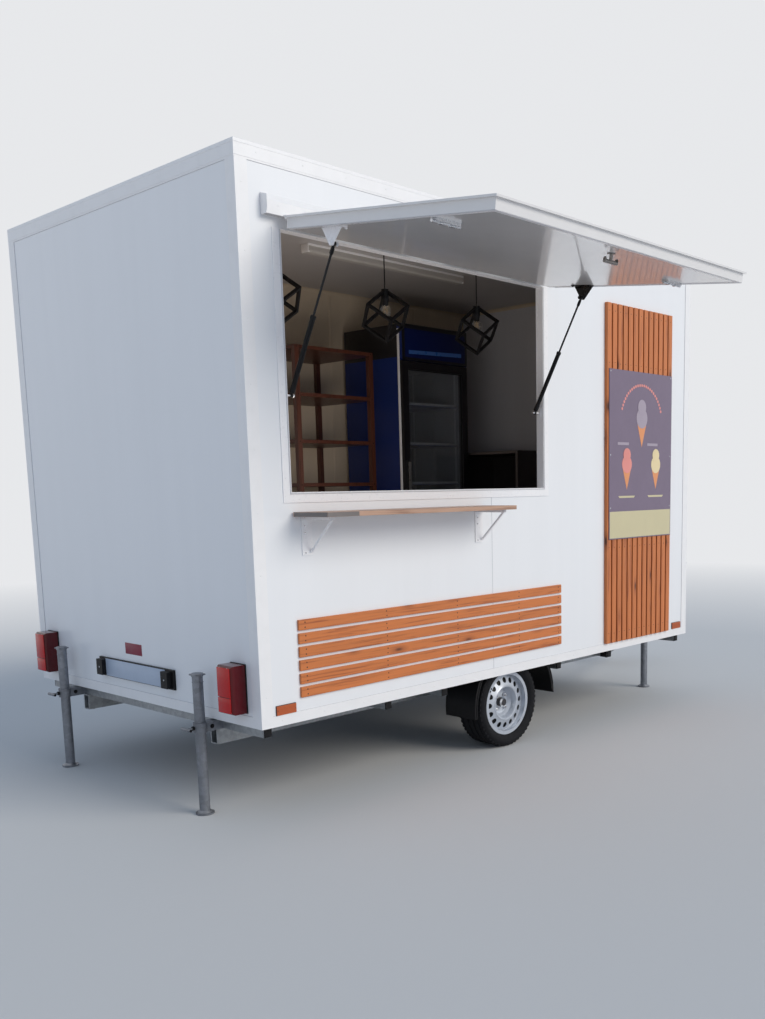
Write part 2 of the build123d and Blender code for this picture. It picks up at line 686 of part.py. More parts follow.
pull += rod((pull_x - PULL_LENGTH / 2, pull_y, pull_z),
            (pull_x + PULL_LENGTH / 2, pull_y, pull_z), PULL_RADIUS)
fittings.append(pull)
save("hatch_fittings", turned_up(together(fittings)))

# Gas struts: the cylinder turns on the jamb's stud, and the rod slides out of it
head_up = up_point(STRUT_HEAD_DEPTH, STRUT_HEAD_ALONG)
strut_way = Vector(0, head_up[0] - strut_foot[0], head_up[1] - strut_foot[1])
strut_length = strut_way.length
strut_way = strut_way.normalized()
closed_length = hypot(STRUT_HEAD_DEPTH - hinge_proud - STRUT_FOOT_DEPTH,
                      hinge_z - STRUT_HEAD_ALONG - strut_foot[1])
buried = strut_length - closed_length
eye_half = Vector(STRUT_EYE_WIDTH / 2, 0, 0)
tube_start = 2 * STRUT_EYE_RADIUS
for name, middle_x in (("rear", strut_x[0]), ("front", strut_x[1])):
    foot = Vector(middle_x, *strut_foot)
    tube_end = foot + strut_way * STRUT_TUBE_LENGTH
    eye = rod(foot - eye_half, foot + eye_half, STRUT_EYE_RADIUS)
    neck = rod(foot, foot + strut_way * (tube_start + 2), STRUT_ROD_RADIUS)
    tube = rod(foot + strut_way * tube_start, tube_end, STRUT_TUBE_RADIUS)
    bore = rod(foot + strut_way * (tube_start + STRUT_END_WALL), tube_end + strut_way,
               STRUT_ROD_RADIUS + STRUT_ROD_CLEARANCE)
    hole = rod(foot - 2 * eye_half, foot + 2 * eye_half, STRUT_STUD_RADIUS + STRUT_STUD_CLEARANCE)
    save(f"strut_cylinder_{name}", eye + neck + tube - bore - hole)
    head = Vector(middle_x, *head_up)
    rod_inside = tube_start + 2 * STRUT_END_WALL
    stem = rod(foot + strut_way * (rod_inside + buried), head - strut_way * STRUT_STUD_RADIUS * 1.5,
               STRUT_ROD_RADIUS)
    ring = rod(head - eye_half, head + eye_half, STRUT_EYE_RADIUS)
    hole = rod(head - 2 * eye_half, head + 2 * eye_half, STRUT_STUD_RADIUS)
    save(f"strut_rod_{name}", stem + ring - hole)

# Folding shelf below the opening
shelf_x = (x_rear + SHELF_START, x_rear + SHELF_START + SHELF_LENGTH)
shelf_under = z_edge + SHELF_TOP_UP - SHELF_BOARD
shelf_pin = (serve_face - SHELF_PIN_FROM_WALL, shelf_under - SHELF_ARM_HEIGHT / 2)
stay_pin = (serve_face - STAY_FROM_WALL, shelf_pin[1] - STAY_DROP)
stay_rise = shelf_under - STAY_WIDTH / 2 - STAY_REST_GAP - stay_pin[1]
stay_out = STAY_REACH - STAY_FROM_WALL
stay_length = hypot(stay_out, stay_rise)
board = block(*shelf_x, serve_face - SHELF_DEPTH, serve_face - SHELF_WALL_GAP,
              shelf_under, z_edge + SHELF_TOP_UP)
plates, stays = [], []
arm_half = SHELF_ARM_WIDTH / 2
arm_round = SHELF_ARM_HEIGHT / 2


def lug_pair(middle_x, half, pin, radius):
    """Two ears on the wall plate with their pin between them."""
    ears = rod((middle_x - half - 1, *pin), (middle_x + half + 1, *pin), SHELF_PIN_RADIUS)
    for side in (-1, 1):
        lug_x = sorted((middle_x + side * (half + 1), middle_x + side * (half + 1 + SHELF_LUG)))
        ears += rod((lug_x[0], *pin), (lug_x[1], *pin), radius)
        ears += block(*lug_x, pin[0], serve_face - SHELF_PLATE, pin[1] - radius, pin[1] + radius)
    return ears


for along in SHELF_BRACKETS:
    middle_x = shelf_x[0] + along
    arm = block(middle_x - arm_half, middle_x + arm_half, serve_face - SHELF_ARM_LENGTH, shelf_pin[0],
                shelf_under - SHELF_ARM_HEIGHT, shelf_under)
    arm += rod((middle_x - arm_half, *shelf_pin), (middle_x + arm_half, *shelf_pin), arm_round)
    arm -= rod((middle_x - arm_half - 1, *shelf_pin), (middle_x + arm_half + 1, *shelf_pin),
               SHELF_PIN_RADIUS + SHELF_PIN_CLEARANCE)
    board += arm
    stay_x = middle_x + STAY_BESIDE
    stay_half = STAY_THICKNESS / 2
    plates.append(
        block(middle_x - arm_half - 1 - SHELF_LUG, stay_x + stay_half + 1 + SHELF_LUG,
              serve_face - SHELF_PLATE, serve_face, stay_pin[1] - SHELF_PLATE_BELOW, shelf_under - 1)
        + lug_pair(middle_x, arm_half, shelf_pin, arm_round - 1)
        + lug_pair(stay_x, stay_half, stay_pin, STAY_WIDTH / 2)
    )
    bar = block(-stay_half, stay_half, -stay_length, 0, -STAY_WIDTH / 2, STAY_WIDTH / 2)
    bar += rod((-stay_half, -stay_length, 0), (stay_half, -stay_length, 0), STAY_WIDTH / 2)
    bar += rod((-stay_half, 0, 0), (stay_half, 0, 0), STAY_WIDTH / 2)
    bar -= rod((-stay_half - 1, 0, 0), (stay_half + 1, 0, 0), SHELF_PIN_RADIUS + SHELF_PIN_CLEARANCE)
    stays.append(Pos(stay_x, *stay_pin) * Rot(-degrees(atan2(stay_rise, stay_out)), 0, 0) * bar)
save("serving_shelf", board)
save("shelf_wall_plates", together(plates))
save("shelf_stays", together(stays))

# Timber cladding and the poster board
boards = []
for index in range(BOARD_COUNT):
    low = z_edge + BOARD_BOTTOM_UP + index * (BOARD_WIDTH + BOARD_SPACE)
    boards.append(block(x_rear + BOARD_START, x_rear + BOARD_END, serve_face - BOARD_THICKNESS, serve_face,
                        low, low + BOARD_WIDTH))
save("cladding_boards", together(boards))
slats = []
for index in range(SLAT_COUNT):
    start = x_rear + SLAT_START + index * (SLAT_WIDTH + SLAT_SPACE)
    slats.append(block(start, start + SLAT_WIDTH, serve_face - SLAT_THICKNESS, serve_face,
                       z_edge + SLAT_BOTTOM_UP, z_top - SLAT_FROM_TOP))
save("cladding_slats", together(slats))
slat_end = x_rear + SLAT_START + SLAT_COUNT * (SLAT_WIDTH + SLAT_SPACE) - SLAT_SPACE
save("poster_board", block(x_rear + SLAT_START + POSTER_INSET, slat_end - POSTER_INSET / 2,
                           serve_face - SLAT_THICKNESS - POSTER_THICKNESS, serve_face - SLAT_THICKNESS,
                           z_edge + POSTER_BOTTOM_UP, z_edge + POSTER_TOP_UP))

# Rear lamps, number plate holder and side markers
lamps = []
for lamp_y in (y_serve + LAMP_BESIDE, y_far - LAMP_BESIDE - LAMP_WIDTH):
    lamp = block(rear_face - LAMP_DEPTH, rear_face, lamp_y, lamp_y + LAMP_WIDTH,
                 z_edge + LAMP_BOTTOM_UP, z_edge + LAMP_BOTTOM_UP + LAMP_HEIGHT)
    lamps.append(fillet(lamp.faces().sort_by(Axis.X)[0].edges(), LAMP_ROUND))
save("rear_lamps", together(lamps))

plate_z = z_edge + PLATE_BOTTOM_UP
holder = block(rear_face - HOLDER_DEPTH, rear_face, y_mid - HOLDER_LENGTH / 2, y_mid + HOLDER_LENGTH / 2,
               plate_z, plate_z + PLATE_HEIGHT)
holder = fillet(holder.faces().sort_by(Axis.X)[0].edges(), HOLDER_ROUND)
holder += block(rear_face - HOLDER_DEPTH - PLATE_THICKNESS, rear_face - HOLDER_DEPTH,
                y_mid - PLATE_LENGTH / 2, y_mid + PLATE_LENGTH / 2,
                plate_z + PLATE_MARGIN, plate_z + PLATE_HEIGHT - PLATE_MARGIN)
for side in (-1, 1):
    lamp_mid = y_mid + side * (HOLDER_LENGTH / 2 - PLATE_LAMP_INSET)
    holder += block(rear_face - HOLDER_DEPTH - PLATE_LAMP_DEPTH, rear_face - HOLDER_DEPTH,
                    lamp_mid - PLATE_LAMP_WIDTH / 2, lamp_mid + PLATE_LAMP_WIDTH / 2,
                    plate_z + PLATE_LAMP_MARGIN, plate_z + PLATE_HEIGHT - PLATE_LAMP_MARGIN)
save("plate_holder", holder)

markers = []
marker_inset = CORNER_LEG + MARKER_INSET
for face, out in ((serve_face, -1), (far_face, 1)):
    for start in (x_front - marker_inset - MARKER_LENGTH, x_rear + marker_inset):
        marker_y = sorted((face, face + out * MARKER_DEPTH))
        markers.append(block(start, start + MARKER_LENGTH, *marker_y, z_edge + MARKER_UP,
                             z_edge + MARKER_UP + MARKER_HEIGHT))
save("side_markers", together(markers))

# Entrance door on the far side
door_frame = surround(door_x, door_z, far_face, 1, far_inside, DOOR_FLANGE, FLANGE_THICKNESS)
pin_x = door_x[0] - DOOR_PIN_BACK
pin_y = far_face + DOOR_PIN_OUT
hinge_levels = (door_z[0] + DOOR_HINGE_INSET, door_z[1] - DOOR_HINGE_INSET)
leaf_x = (door_x[0] + DOOR_GAP, door_x[1] - DOOR_GAP)
leaf_z = (door_z[0] + DOOR_GAP, door_z[1] - DOOR_GAP)
lip_y = far_face + FLANGE_THICKNESS + DOOR_SEAL_GAP
leaf = block(*leaf_x, lip_y - DOOR_THICKNESS, lip_y, *leaf_z)
leaf += block(leaf_x[0] - DOOR_LIP, leaf_x[1] + DOOR_LIP, lip_y, lip_y + DOOR_LIP_SHEET,
              leaf_z[0] - DOOR_LIP, leaf_z[1] + DOOR_LIP)
strap_y = lip_y + DOOR_LIP_SHEET
for level in hinge_levels:
    knuckle_low = level - DOOR_KNUCKLE_HEIGHT
    knuckle_high = level + DOOR_KNUCKLE_HEIGHT
    lower_top = level - DOOR_KNUCKLE_GAP
    upper_low = level + DOOR_KNUCKLE_GAP
    door_frame += rod((pin_x, pin_y, knuckle_low), (pin_x, pin_y, lower_top), DOOR_KNUCKLE_RADIUS)
    door_frame += block(pin_x - DOOR_KNUCKLE_RADIUS, pin_x + DOOR_KNUCKLE_RADIUS, far_face, pin_y,
                        knuckle_low, lower_top)
    door_frame += rod((pin_x, pin_y, knuckle_low), (pin_x, pin_y, knuckle_high - 4), DOOR_PIN_RADIUS)
    knuckle = rod((pin_x, pin_y, upper_low), (pin_x, pin_y, knuckle_high), DOOR_KNUCKLE_RADIUS)
    knuckle += block(pin_x, leaf_x[0] + DOOR_STRAP, strap_y, strap_y + DOOR_STRAP_SHEET,
                     upper_low, knuckle_high)
    knuckle -= rod((pin_x, pin_y, level), (pin_x, pin_y, knuckle_high - 3),
                   DOOR_PIN_RADIUS + DOOR_PIN_CLEARANCE)
    leaf += knuckle
handle_x = leaf_x[1] - DOOR_HANDLE_INSET
handle_z = door_z[0] + DOOR_HANDLE_UP
handle_y = y_far + FAR_REACH - DOOR_HANDLE_RADIUS
plate_width, plate_height, plate_sheet = DOOR_HANDLE_PLATE
leaf += block(handle_x - plate_width / 2, handle_x + plate_width / 2, lip_y, strap_y + plate_sheet,
              handle_z - plate_height / 2, handle_z + plate_height / 2)
leaf += rod((handle_x, lip_y, handle_z), (handle_x, handle_y, handle_z), DOOR_HANDLE_RADIUS)
handle_end = handle_x - DOOR_HANDLE_LENGTH
leaf += rod((handle_x, handle_y, handle_z), (handle_end, handle_y, handle_z), DOOR_HANDLE_RADIUS)
save("door_frame", door_frame)
save("door_leaf", leaf)

# Chassis: rails that bend in to the coupling, and cross members on top of them
bend_x = x_rear + RAIL_BEND
rail_end_x = x_tip - NOSE_FRONT
rail_way = Vector(rail_end_x - bend_x, -(RAIL_BESIDE_CENTRE - NOSE_HALF_WIDTH - RAIL_WIDTH / 2), 0)
rail_slope = rail_way.Y / rail_way.X
rails = []


def rail_outline(half, side):
    """Plan outline of one rail with half a width each side of its line."""
    middle = RAIL_BESIDE_CENTRE
    end = NOSE_HALF_WIDTH + RAIL_WIDTH / 2
    turn = atan2(-rail_slope, 1)
    skew = half / cos(turn)
    mitre = half * (1 - cos(turn)) / sin(turn)
    line = [
        (x_rear + RAIL_START, middle + half),
        (bend_x + mitre, middle + half),
        (rail_end_x, end + skew),
        (rail_end_x, end - skew),
        (bend_x - mitre, middle - half),
        (x_rear + RAIL_START, middle - half),
    ]
    return [(x, y_mid + side * y) for x, y in line]


for side in (-1, 1):
    rail = prism_z(rail_outline(RAIL_WIDTH / 2, side), z_rail, z_cross)
    hollow = prism_z(rail_outline(RAIL_WIDTH / 2 - RAIL_WALL, side),
                     z_rail + RAIL_WALL, z_cross - RAIL_WALL)
    rails.append(rail - hollow)
save("chassis_rails", together(rails))

members = []
for place in CROSS_PLACES:
    member_x = (x_rear + place - CROSS_WIDTH / 2, x_rear + place + CROSS_WIDTH / 2)
    member = block(*member_x, serve_inside, far_inside, z_cross, z_edge)
    member -= block(member_x[0] + CROSS_WALL, member_x[1] - CROSS_WALL, serve_inside - 1, far_inside + 1,
                    z_cross + CROSS_WALL, z_edge - CROSS_WALL)
    members.append(member)
save("cross_members", together(members))

# Drawbar nose and coupling head
nose_back = x_tip - NOSE_BACK
shell_radius = COUPLING_BALL_RADIUS + COUPLING_SHELL


def rail_middle(x):
    """Distance of a rail's line from the middle, forward of its bend."""
    return RAIL_BESIDE_CENTRE + rail_slope * (x - bend_x)


nose = []
for low in (z_rail - NOSE_SHEET, z_cross):
    nose.append(
        prism_z(
            [
                (nose_back, y_mid - rail_middle(nose_back)),
                (rail_end_x, y_mid - rail_middle(rail_end_x)),
                (rail_end_x, y_mid + rail_middle(rail_end_x)),
                (nose_back, y_mid + rail_middle(nose_back)),
            ],
            low,
            low + NOSE_SHEET,
        )
    )
nose_half = rail_middle(rail_end_x) + NOSE_OVERHANG
nose_cap = block(rail_end_x, rail_end_x + NOSE_SHEET, y_mid - nose_half, y_mid + nose_half,
                 z_rail - NOSE_SHEET, z_cross + NOSE_SHEET)
coupling_z = z_cross + NOSE_SHEET + COUPLING_TUBE_RADIUS
ball_x = x_tip - shell_radius
ball_z = coupling_z - COUPLING_BALL_DROP
saddle_y = (y_mid - SADDLE_WIDTH / 2, y_mid + SADDLE_WIDTH / 2)
saddles = block(nose_back, nose_back + SADDLE_LENGTH, *saddle_y, z_cross, coupling_z)
front_saddle = rail_end_x - SADDLE_FROM_END
saddles += block(front_saddle - SADDLE_LENGTH, front_saddle, *saddle_y, z_cross, coupling_z)
saddles -= rod((nose_back - 1, y_mid, coupling_z), (rail_end_x, y_mid, coupling_z), COUPLING_TUBE_RADIUS)
save("drawbar_nose", nose[0] + nose[1] + nose_cap + saddles)

head_back = rail_end_x + COUPLING_NECK_BACK
coupling = rod((nose_back - 20, y_mid, coupling_z), (head_back, y_mid, coupling_z), COUPLING_TUBE_RADIUS)
neck_back = Pos(y_mid, coupling_z) * RectangleRounded(COUPLING_NECK, COUPLING_NECK, 20)
neck_front = Pos(y_mid, ball_z + 6) * RectangleRounded(2 * shell_radius - 2, COUPLING_NECK_FRONT, 14)
coupling += loft([Plane.YZ.offset(head_back) * neck_back, Plane.YZ.offset(ball_x) * neck_front])
skirt_low = ball_z - COUPLING_SKIRT
dome_z = skirt_low + COUPLING_BORE_LENGTH
coupling += rod((ball_x, y_mid, skirt_low), (ball_x, y_mid, dome_z), shell_radius)
coupling += Pos(ball_x, y_mid, dome_z) * Sphere(shell_radius)
coupling -= rod((ball_x, y_mid, skirt_low - 40), (ball_x, y_mid, dome_z), COUPLING_BALL_RADIUS)
coupling -= Pos(ball_x, y_mid, dome_z) * Sphere(COUPLING_SEAT_RADIUS)
lever = prism_y(
    [
        (ball_x - 20, coupling_z + 20),
        (ball_x - 50, coupling_z + 62),
        (head_back - 60, coupling_z + 84),
        (head_back - 60, coupling_z + 72),
        (ball_x - 60, coupling_z + 42),
        (ball_x - 60, coupling_z + 20),
    ],
    y_mid - LEVER_WIDTH / 2,
    y_mid + LEVER_WIDTH / 2,
)
save("coupling_head", coupling + lever)

# Axle under the rails, with swing arms back to the wheels
arm_x = x_axle + ARM_LENGTH
axle_z = z_rail - AXLE_PLATE - AXLE_TUBE / 2
wheel_inset = PROFILE + WALL + TYRE_FROM_WALL + TYRE_WIDTH / 2
wheel_beside = BODY_WIDTH / 2 - wheel_inset
tube_half = wheel_beside - ARM_FROM_WHEEL - ARM_THICKNESS
axle = block(arm_x - AXLE_TUBE / 2, arm_x + AXLE_TUBE / 2, y_mid - tube_half, y_mid + tube_half,
             axle_z - AXLE_TUBE / 2, axle_z + AXLE_TUBE / 2)
for side in (-1, 1):
    plate_y = y_mid + side * RAIL_BESIDE_CENTRE
    plate_half = RAIL_WIDTH / 2 + AXLE_PLATE_SPARE
    axle += block(arm_x - AXLE_PLATE_LENGTH / 2, arm_x + AXLE_PLATE_LENGTH / 2,
                  plate_y - plate_half, plate_y + plate_half, z_rail - AXLE_PLATE, z_rail)
    wheel_y = y_mid + side * wheel_beside
    arm_y = sorted((wheel_y - side * ARM_FROM_WHEEL, wheel_y - side * (ARM_FROM_WHEEL + ARM_THICKNESS)))
    tube_end = Pos(arm_x, axle_z) * Circle(ARM_END_RADIUS)
    stub_end = Pos(x_axle, z_wheel) * Circle(ARM_END_RADIUS)
    arm_outline = make_hull(tube_end.edges() + stub_end.edges())
    axle += extrude(Plane.XZ.offset(-arm_y[1]) * arm_outline, amount=ARM_THICKNESS)
    stub_start = wheel_y - side * ARM_FROM_WHEEL
    stub_out = stub_start + side * STUB_LENGTH
    axle += rod((x_axle, stub_start, z_wheel), (x_axle, stub_out, z_wheel), STUB_RADIUS)
    back_y = wheel_y - side * (DRUM_INNER + BACKPLATE_GAP + BACKPLATE)
    axle += rod((x_axle, back_y, z_wheel), (x_axle, back_y + side * BACKPLATE, z_wheel), BACKPLATE_RADIUS)
    axle += rod((x_axle, stub_start, z_wheel), (x_axle, back_y, z_wheel), STUB_COLLAR_RADIUS)
save("axle_beam", axle)

# Wheels: tyre, rim and hub, with widths measured outward from the wheel's middle plane
half_tyre = TYRE_WIDTH / 2
half_rim = RIM_WIDTH / 2
bead_outer = half_rim - RIM_SHEET
tyre_side = [
    (RIM_SEAT_RADIUS, 44),
    (RIM_SEAT_RADIUS, bead_outer),
    (RIM_FLANGE_RADIUS, bead_outer),
    (RIM_FLANGE_RADIUS + 3, half_rim),
    (RIM_FLANGE_RADIUS + 20, half_tyre - 5),
    (TYRE_RADIUS - 32, half_tyre),
    (TYRE_RADIUS - 9, half_tyre - 8),
    (TYRE_RADIUS, half_tyre - 22),
]
tyre_inside = [
    (TYRE_RADIUS - TYRE_SHELL, half_tyre - 28),
    (TYRE_RADIUS - 34, half_tyre - TYRE_SHELL),
    (RIM_FLANGE_RADIUS + 18, half_tyre - TYRE_SHELL - 4),
    (RIM_SEAT_RADIUS + 14, 46),
]


def mirrored(points):
    """The same points on the wheel's inner side, in reverse order."""
    return [(r, -w) for r, w in reversed(points)]


tyre_profile = tyre_side + mirrored(tyre_side) + mirrored(tyre_inside) + tyre_inside
barrel = [
    (RIM_FLANGE_RADIUS, half_rim),
    (RIM_FLANGE_RADIUS, bead_outer),
    (RIM_SEAT_RADIUS, bead_outer),
    (RIM_SEAT_RADIUS, 40),
    (RIM_WELL_RADIUS, 22),
]
barrel_inside = [
    (RIM_WELL_RADIUS - RIM_SHEET, 24),
    (RIM_SEAT_RADIUS - RIM_SHEET, 42),
    (RIM_SEAT_RADIUS - RIM_SHEET, half_rim),
]
barrel_profile = barrel + mirrored(barrel) + mirrored(barrel_inside) + barrel_inside
well_inside = RIM_WELL_RADIUS - RIM_SHEET
ridge_face = HUB_FACE + DISC_RISE
disc_profile = [
    (SPIGOT_RADIUS, HUB_FACE),
    (HUB_RADIUS, HUB_FACE),
    (DISC_RIDGE_INNER + 2, ridge_face),
    (DISC_RIDGE_OUTER - 2, ridge_face),
    (well_inside, HUB_FACE - 4),
    (well_inside, HUB_FACE + 2),
    (DISC_RIDGE_OUTER + 2, ridge_face + RIM_SHEET),
    (DISC_RIDGE_INNER - 2, ridge_face + RIM_SHEET),
    (HUB_RADIUS - 4, HUB_FACE + RIM_SHEET),
    (SPIGOT_RADIUS, HUB_FACE + RIM_SHEET),
]
stub_bore = STUB_RADIUS + STUB_CLEARANCE
cap_end = HUB_FACE + CAP_LENGTH
hub_profile = [
    (stub_bore, -HUB_BACK),
    (HUB_NECK, -HUB_BACK),
    (HUB_NECK, HUB_FACE - 10 - DRUM_WALL),
    (DRUM_RADIUS - DRUM_WALL, HUB_FACE - 10 - DRUM_WALL),
    (DRUM_RADIUS - DRUM_WALL, -DRUM_INNER),
    (DRUM_RADIUS, -DRUM_INNER),
    (DRUM_RADIUS, HUB_FACE - 10),
    (HUB_RADIUS, HUB_FACE - 10),
    (HUB_RADIUS, HUB_FACE),
    (SPIGOT_RADIUS, HUB_FACE),
    (SPIGOT_RADIUS, HUB_FACE + RIM_SHEET),
    (CAP_RADIUS, HUB_FACE + RIM_SHEET),
    (CAP_RADIUS, cap_end - 2 * CAP_WALL),
    (CAP_RADIUS - 2 * CAP_WALL, cap_end),
    (0, cap_end),
    (0, cap_end - CAP_WALL),
    (stub_bore, cap_end - CAP_WALL - 6),
]
slots = Sketch() + [
    place * Rot(0, 0, 90) * SlotOverall(RIM_SLOT_LENGTH, RIM_SLOT_WIDTH)
    for place in PolarLocations(RIM_SLOT_CIRCLE, RIM_SLOTS)
]
for name, side in (("near", -1), ("far", 1)):
    wheel_at = (x_axle, y_mid + side * wheel_beside, z_wheel)
    save(f"tyre_{name}", turned(tyre_profile, *wheel_at, side))
    rim = turned(barrel_profile, *wheel_at, side) + turned(disc_profile, *wheel_at, side)
    slot_cut = Plane.XZ.offset(-wheel_at[1] - half_rim) * Pos(x_axle, z_wheel) * slots
    rim -= extrude(slot_cut, amount=RIM_WIDTH)
    save(f"rim_{name}", rim)
    save(f"hub_{name}", turned(hub_profile, *wheel_at, side))

# Mudguards, hung by their crowns from the wheel boxes
guards = []
guard_start = wheel_inset - PROFILE - WALL - GUARD_FROM_WALL
guard_end = guard_start - GUARD_WIDTH
guard_inside = GUARD_RADIUS - GUARD_SHEET
guard_profile = [
    (guard_inside, guard_end),
    (GUARD_RADIUS, guard_end),
    (GUARD_RADIUS, guard_start),
    (guard_inside - GUARD_LIP, guard_start),
    (guard_inside - GUARD_LIP, guard_start - GUARD_SHEET),
    (guard_inside, guard_start - GUARD_SHEET),
]
for side in (-1, 1):
    wheel_y = y_mid + side * wheel_beside
    guard = turned(guard_profile, x_guard, wheel_y, z_wheel, side)
    guard_y = sorted((wheel_y + side * guard_start, wheel_y + side * guard_end))
    outline = [
        (x_guard - GUARD_RADIUS - 1, guard_top + 1),
        (x_guard - GUARD_RADIUS - 1, z_wheel - GUARD_DROP_REAR),
        (x_guard, z_wheel - GUARD_DROP_REAR),
        (x_guard + GUARD_RADIUS - GUARD_SHEET - GUARD_LIP, z_wheel - GUARD_DROP_FRONT + GUARD_POINT),
        (x_guard + GUARD_RADIUS + 1, z_wheel - GUARD_DROP_FRONT),
        (x_guard + GUARD_RADIUS + 1, guard_top + 1),
    ]
    guard &= prism_y(outline, guard_y[0] - 1, guard_y[1] + 1)
    pad = block(x_guard - GUARD_PAD / 2, x_guard + GUARD_PAD / 2, *guard_y,
                guard_top - GUARD_PAD_HEIGHT, guard_top)
    pad -= rod((x_guard, guard_y[0] - 1, z_wheel), (x_guard, guard_y[1] + 1, z_wheel), guard_inside + 1)
    guards.append(guard + pad)
save("mudguards", together(guards))

# Prop stands and the clamps that hold them
clamp_top = z_cross + CLAMP_HEIGHT
clamp_z = z_cross + CLAMP_HEIGHT / 2
clamp_radius = STAND_RADIUS + CLAMP_WALL
clamps = []
for end_name, stand_x, cross_x, out in (
    ("rear", x_rear - STAND_FROM_WALL, x_rear + CROSS_PLACES[0] - CROSS_WIDTH / 2, -1),
    ("front", x_front + STAND_FROM_WALL, x_rear + CROSS_PLACES[-1] + CROSS_WIDTH / 2, 1),
):
    for side_name, side in (("near", -1), ("far", 1)):
        stand_y = y_mid + side * STAND_BESIDE_CENTRE
        top = z_edge + STAND_TOP_UP
        tube = rod((stand_x, stand_y, FOOT_THICKNESS), (stand_x, stand_y, top), STAND_RADIUS)
        tube -= rod((stand_x, stand_y, FOOT_THICKNESS), (stand_x, stand_y, top - STAND_WALL),
                    STAND_RADIUS - STAND_WALL)
        foot = rod((stand_x, stand_y, 0), (stand_x, stand_y, FOOT_THICKNESS), FOOT_RADIUS)
        cap = Pos(stand_x, stand_y, top - STAND_CAP_HEIGHT / 2) * Box(STAND_CAP, STAND_CAP, STAND_CAP_HEIGHT)
        save(f"stand_{end_name}_{side_name}", tube + foot + cap)
        reach_x = sorted((cross_x, stand_x))
        arm = block(*reach_x, stand_y - BRACKET_WIDTH / 2, stand_y + BRACKET_WIDTH / 2, z_cross, clamp_top)
        ring = rod((stand_x, stand_y, z_cross), (stand_x, stand_y, clamp_top), clamp_radius)
        screw_end = stand_x + out * (HANDLE_REACH - HANDLE_RADIUS)
        screw = rod((stand_x, stand_y, clamp_z), (screw_end, stand_y, clamp_z), SCREW_RADIUS)
        bar = rod((screw_end, stand_y - HANDLE_BAR / 2, clamp_z),
                  (screw_end, stand_y + HANDLE_BAR / 2, clamp_z), HANDLE_RADIUS)
        clamp = arm + ring + screw + bar
        clamp -= rod((stand_x, stand_y, z_cross - 1), (stand_x, stand_y, clamp_top + 1),
                     STAND_RADIUS + CLAMP_CLEARANCE)
        clamps.append(clamp)
save("stand_clamps", together(clamps))

# Jockey wheel: a tube in a clamp, a fork that swivels in it and a wheel in the fork
jockey_x = x_rear + JOCKEY_FROM_REAR
rail_outer = rail_middle(jockey_x) + RAIL_WIDTH / 2 / cos(atan2(-rail_slope, 1))
jockey_y = y_mid + rail_outer + JOCKEY_FROM_RAIL
jockey_clamp_z = z_rail + JOCKEY_CLAMP_UP
jockey_clamp_top = jockey_clamp_z + CLAMP_HEIGHT
clamp_half = JOCKEY_CLAMP_LENGTH / 2
jockey_clamp = rod((jockey_x, jockey_y, jockey_clamp_z), (jockey_x, jockey_y, jockey_clamp_top),
                   clamp_radius)
jockey_clamp += block(jockey_x - clamp_half, jockey_x + clamp_half, y_mid + rail_outer - clamp_half,
                      jockey_y, jockey_clamp_z, jockey_clamp_top)
jockey_clamp -= prism_z(rail_outline(RAIL_WIDTH / 2, 1), z_rail, z_cross)
jockey_screw_z = jockey_clamp_z + CLAMP_HEIGHT / 2
jockey_bar_y = jockey_y + HANDLE_REACH - HANDLE_RADIUS
jockey_clamp += rod((jockey_x, jockey_y, jockey_screw_z), (jockey_x, jockey_bar_y, jockey_screw_z),
                    SCREW_RADIUS)
jockey_clamp += rod((jockey_x - HANDLE_BAR / 2, jockey_bar_y, jockey_screw_z),
                    (jockey_x + HANDLE_BAR / 2, jockey_bar_y, jockey_screw_z), HANDLE_RADIUS)
jockey_clamp -= rod((jockey_x, jockey_y, z_rail), (jockey_x, jockey_y, z_cross),
                    STAND_RADIUS + CLAMP_CLEARANCE)
save("jockey_clamp", jockey_clamp)

tube_low = z_rail - JOCKEY_TUBE_BELOW
tube_high = tube_low + JOCKEY_TUBE_LENGTH
jockey_tube = rod((jockey_x, jockey_y, tube_low), (jockey_x, jockey_y, tube_high), STAND_RADIUS)
jockey_tube -= rod((jockey_x, jockey_y, tube_low + JOCKEY_BUSH), (jockey_x, jockey_y, tube_high - 5),
                   STAND_RADIUS - STAND_WALL)
jockey_tube -= rod((jockey_x, jockey_y, tube_low - 1), (jockey_x, jockey_y, tube_low + JOCKEY_BUSH + 1),
                   JOCKEY_STEM_RADIUS + CLAMP_CLEARANCE)
crank_x = jockey_x + JOCKEY_CRANK
crank_z = tube_high + CRANK_RISE
crank_low = crank_z - CRANK_RADIUS + 1
jockey_tube += rod((jockey_x, jockey_y, tube_high), (jockey_x, jockey_y, crank_z + CRANK_RADIUS - 1),
                   CRANK_SHAFT_RADIUS)
jockey_tube += rod((jockey_x, jockey_y, crank_z), (crank_x, jockey_y, crank_z), CRANK_RADIUS)
jockey_tube += rod((crank_x, jockey_y, crank_low), (crank_x, jockey_y, crank_low + CRANK_HANDLE),
                   CRANK_HANDLE_RADIUS)
save("jockey_tube", jockey_tube)

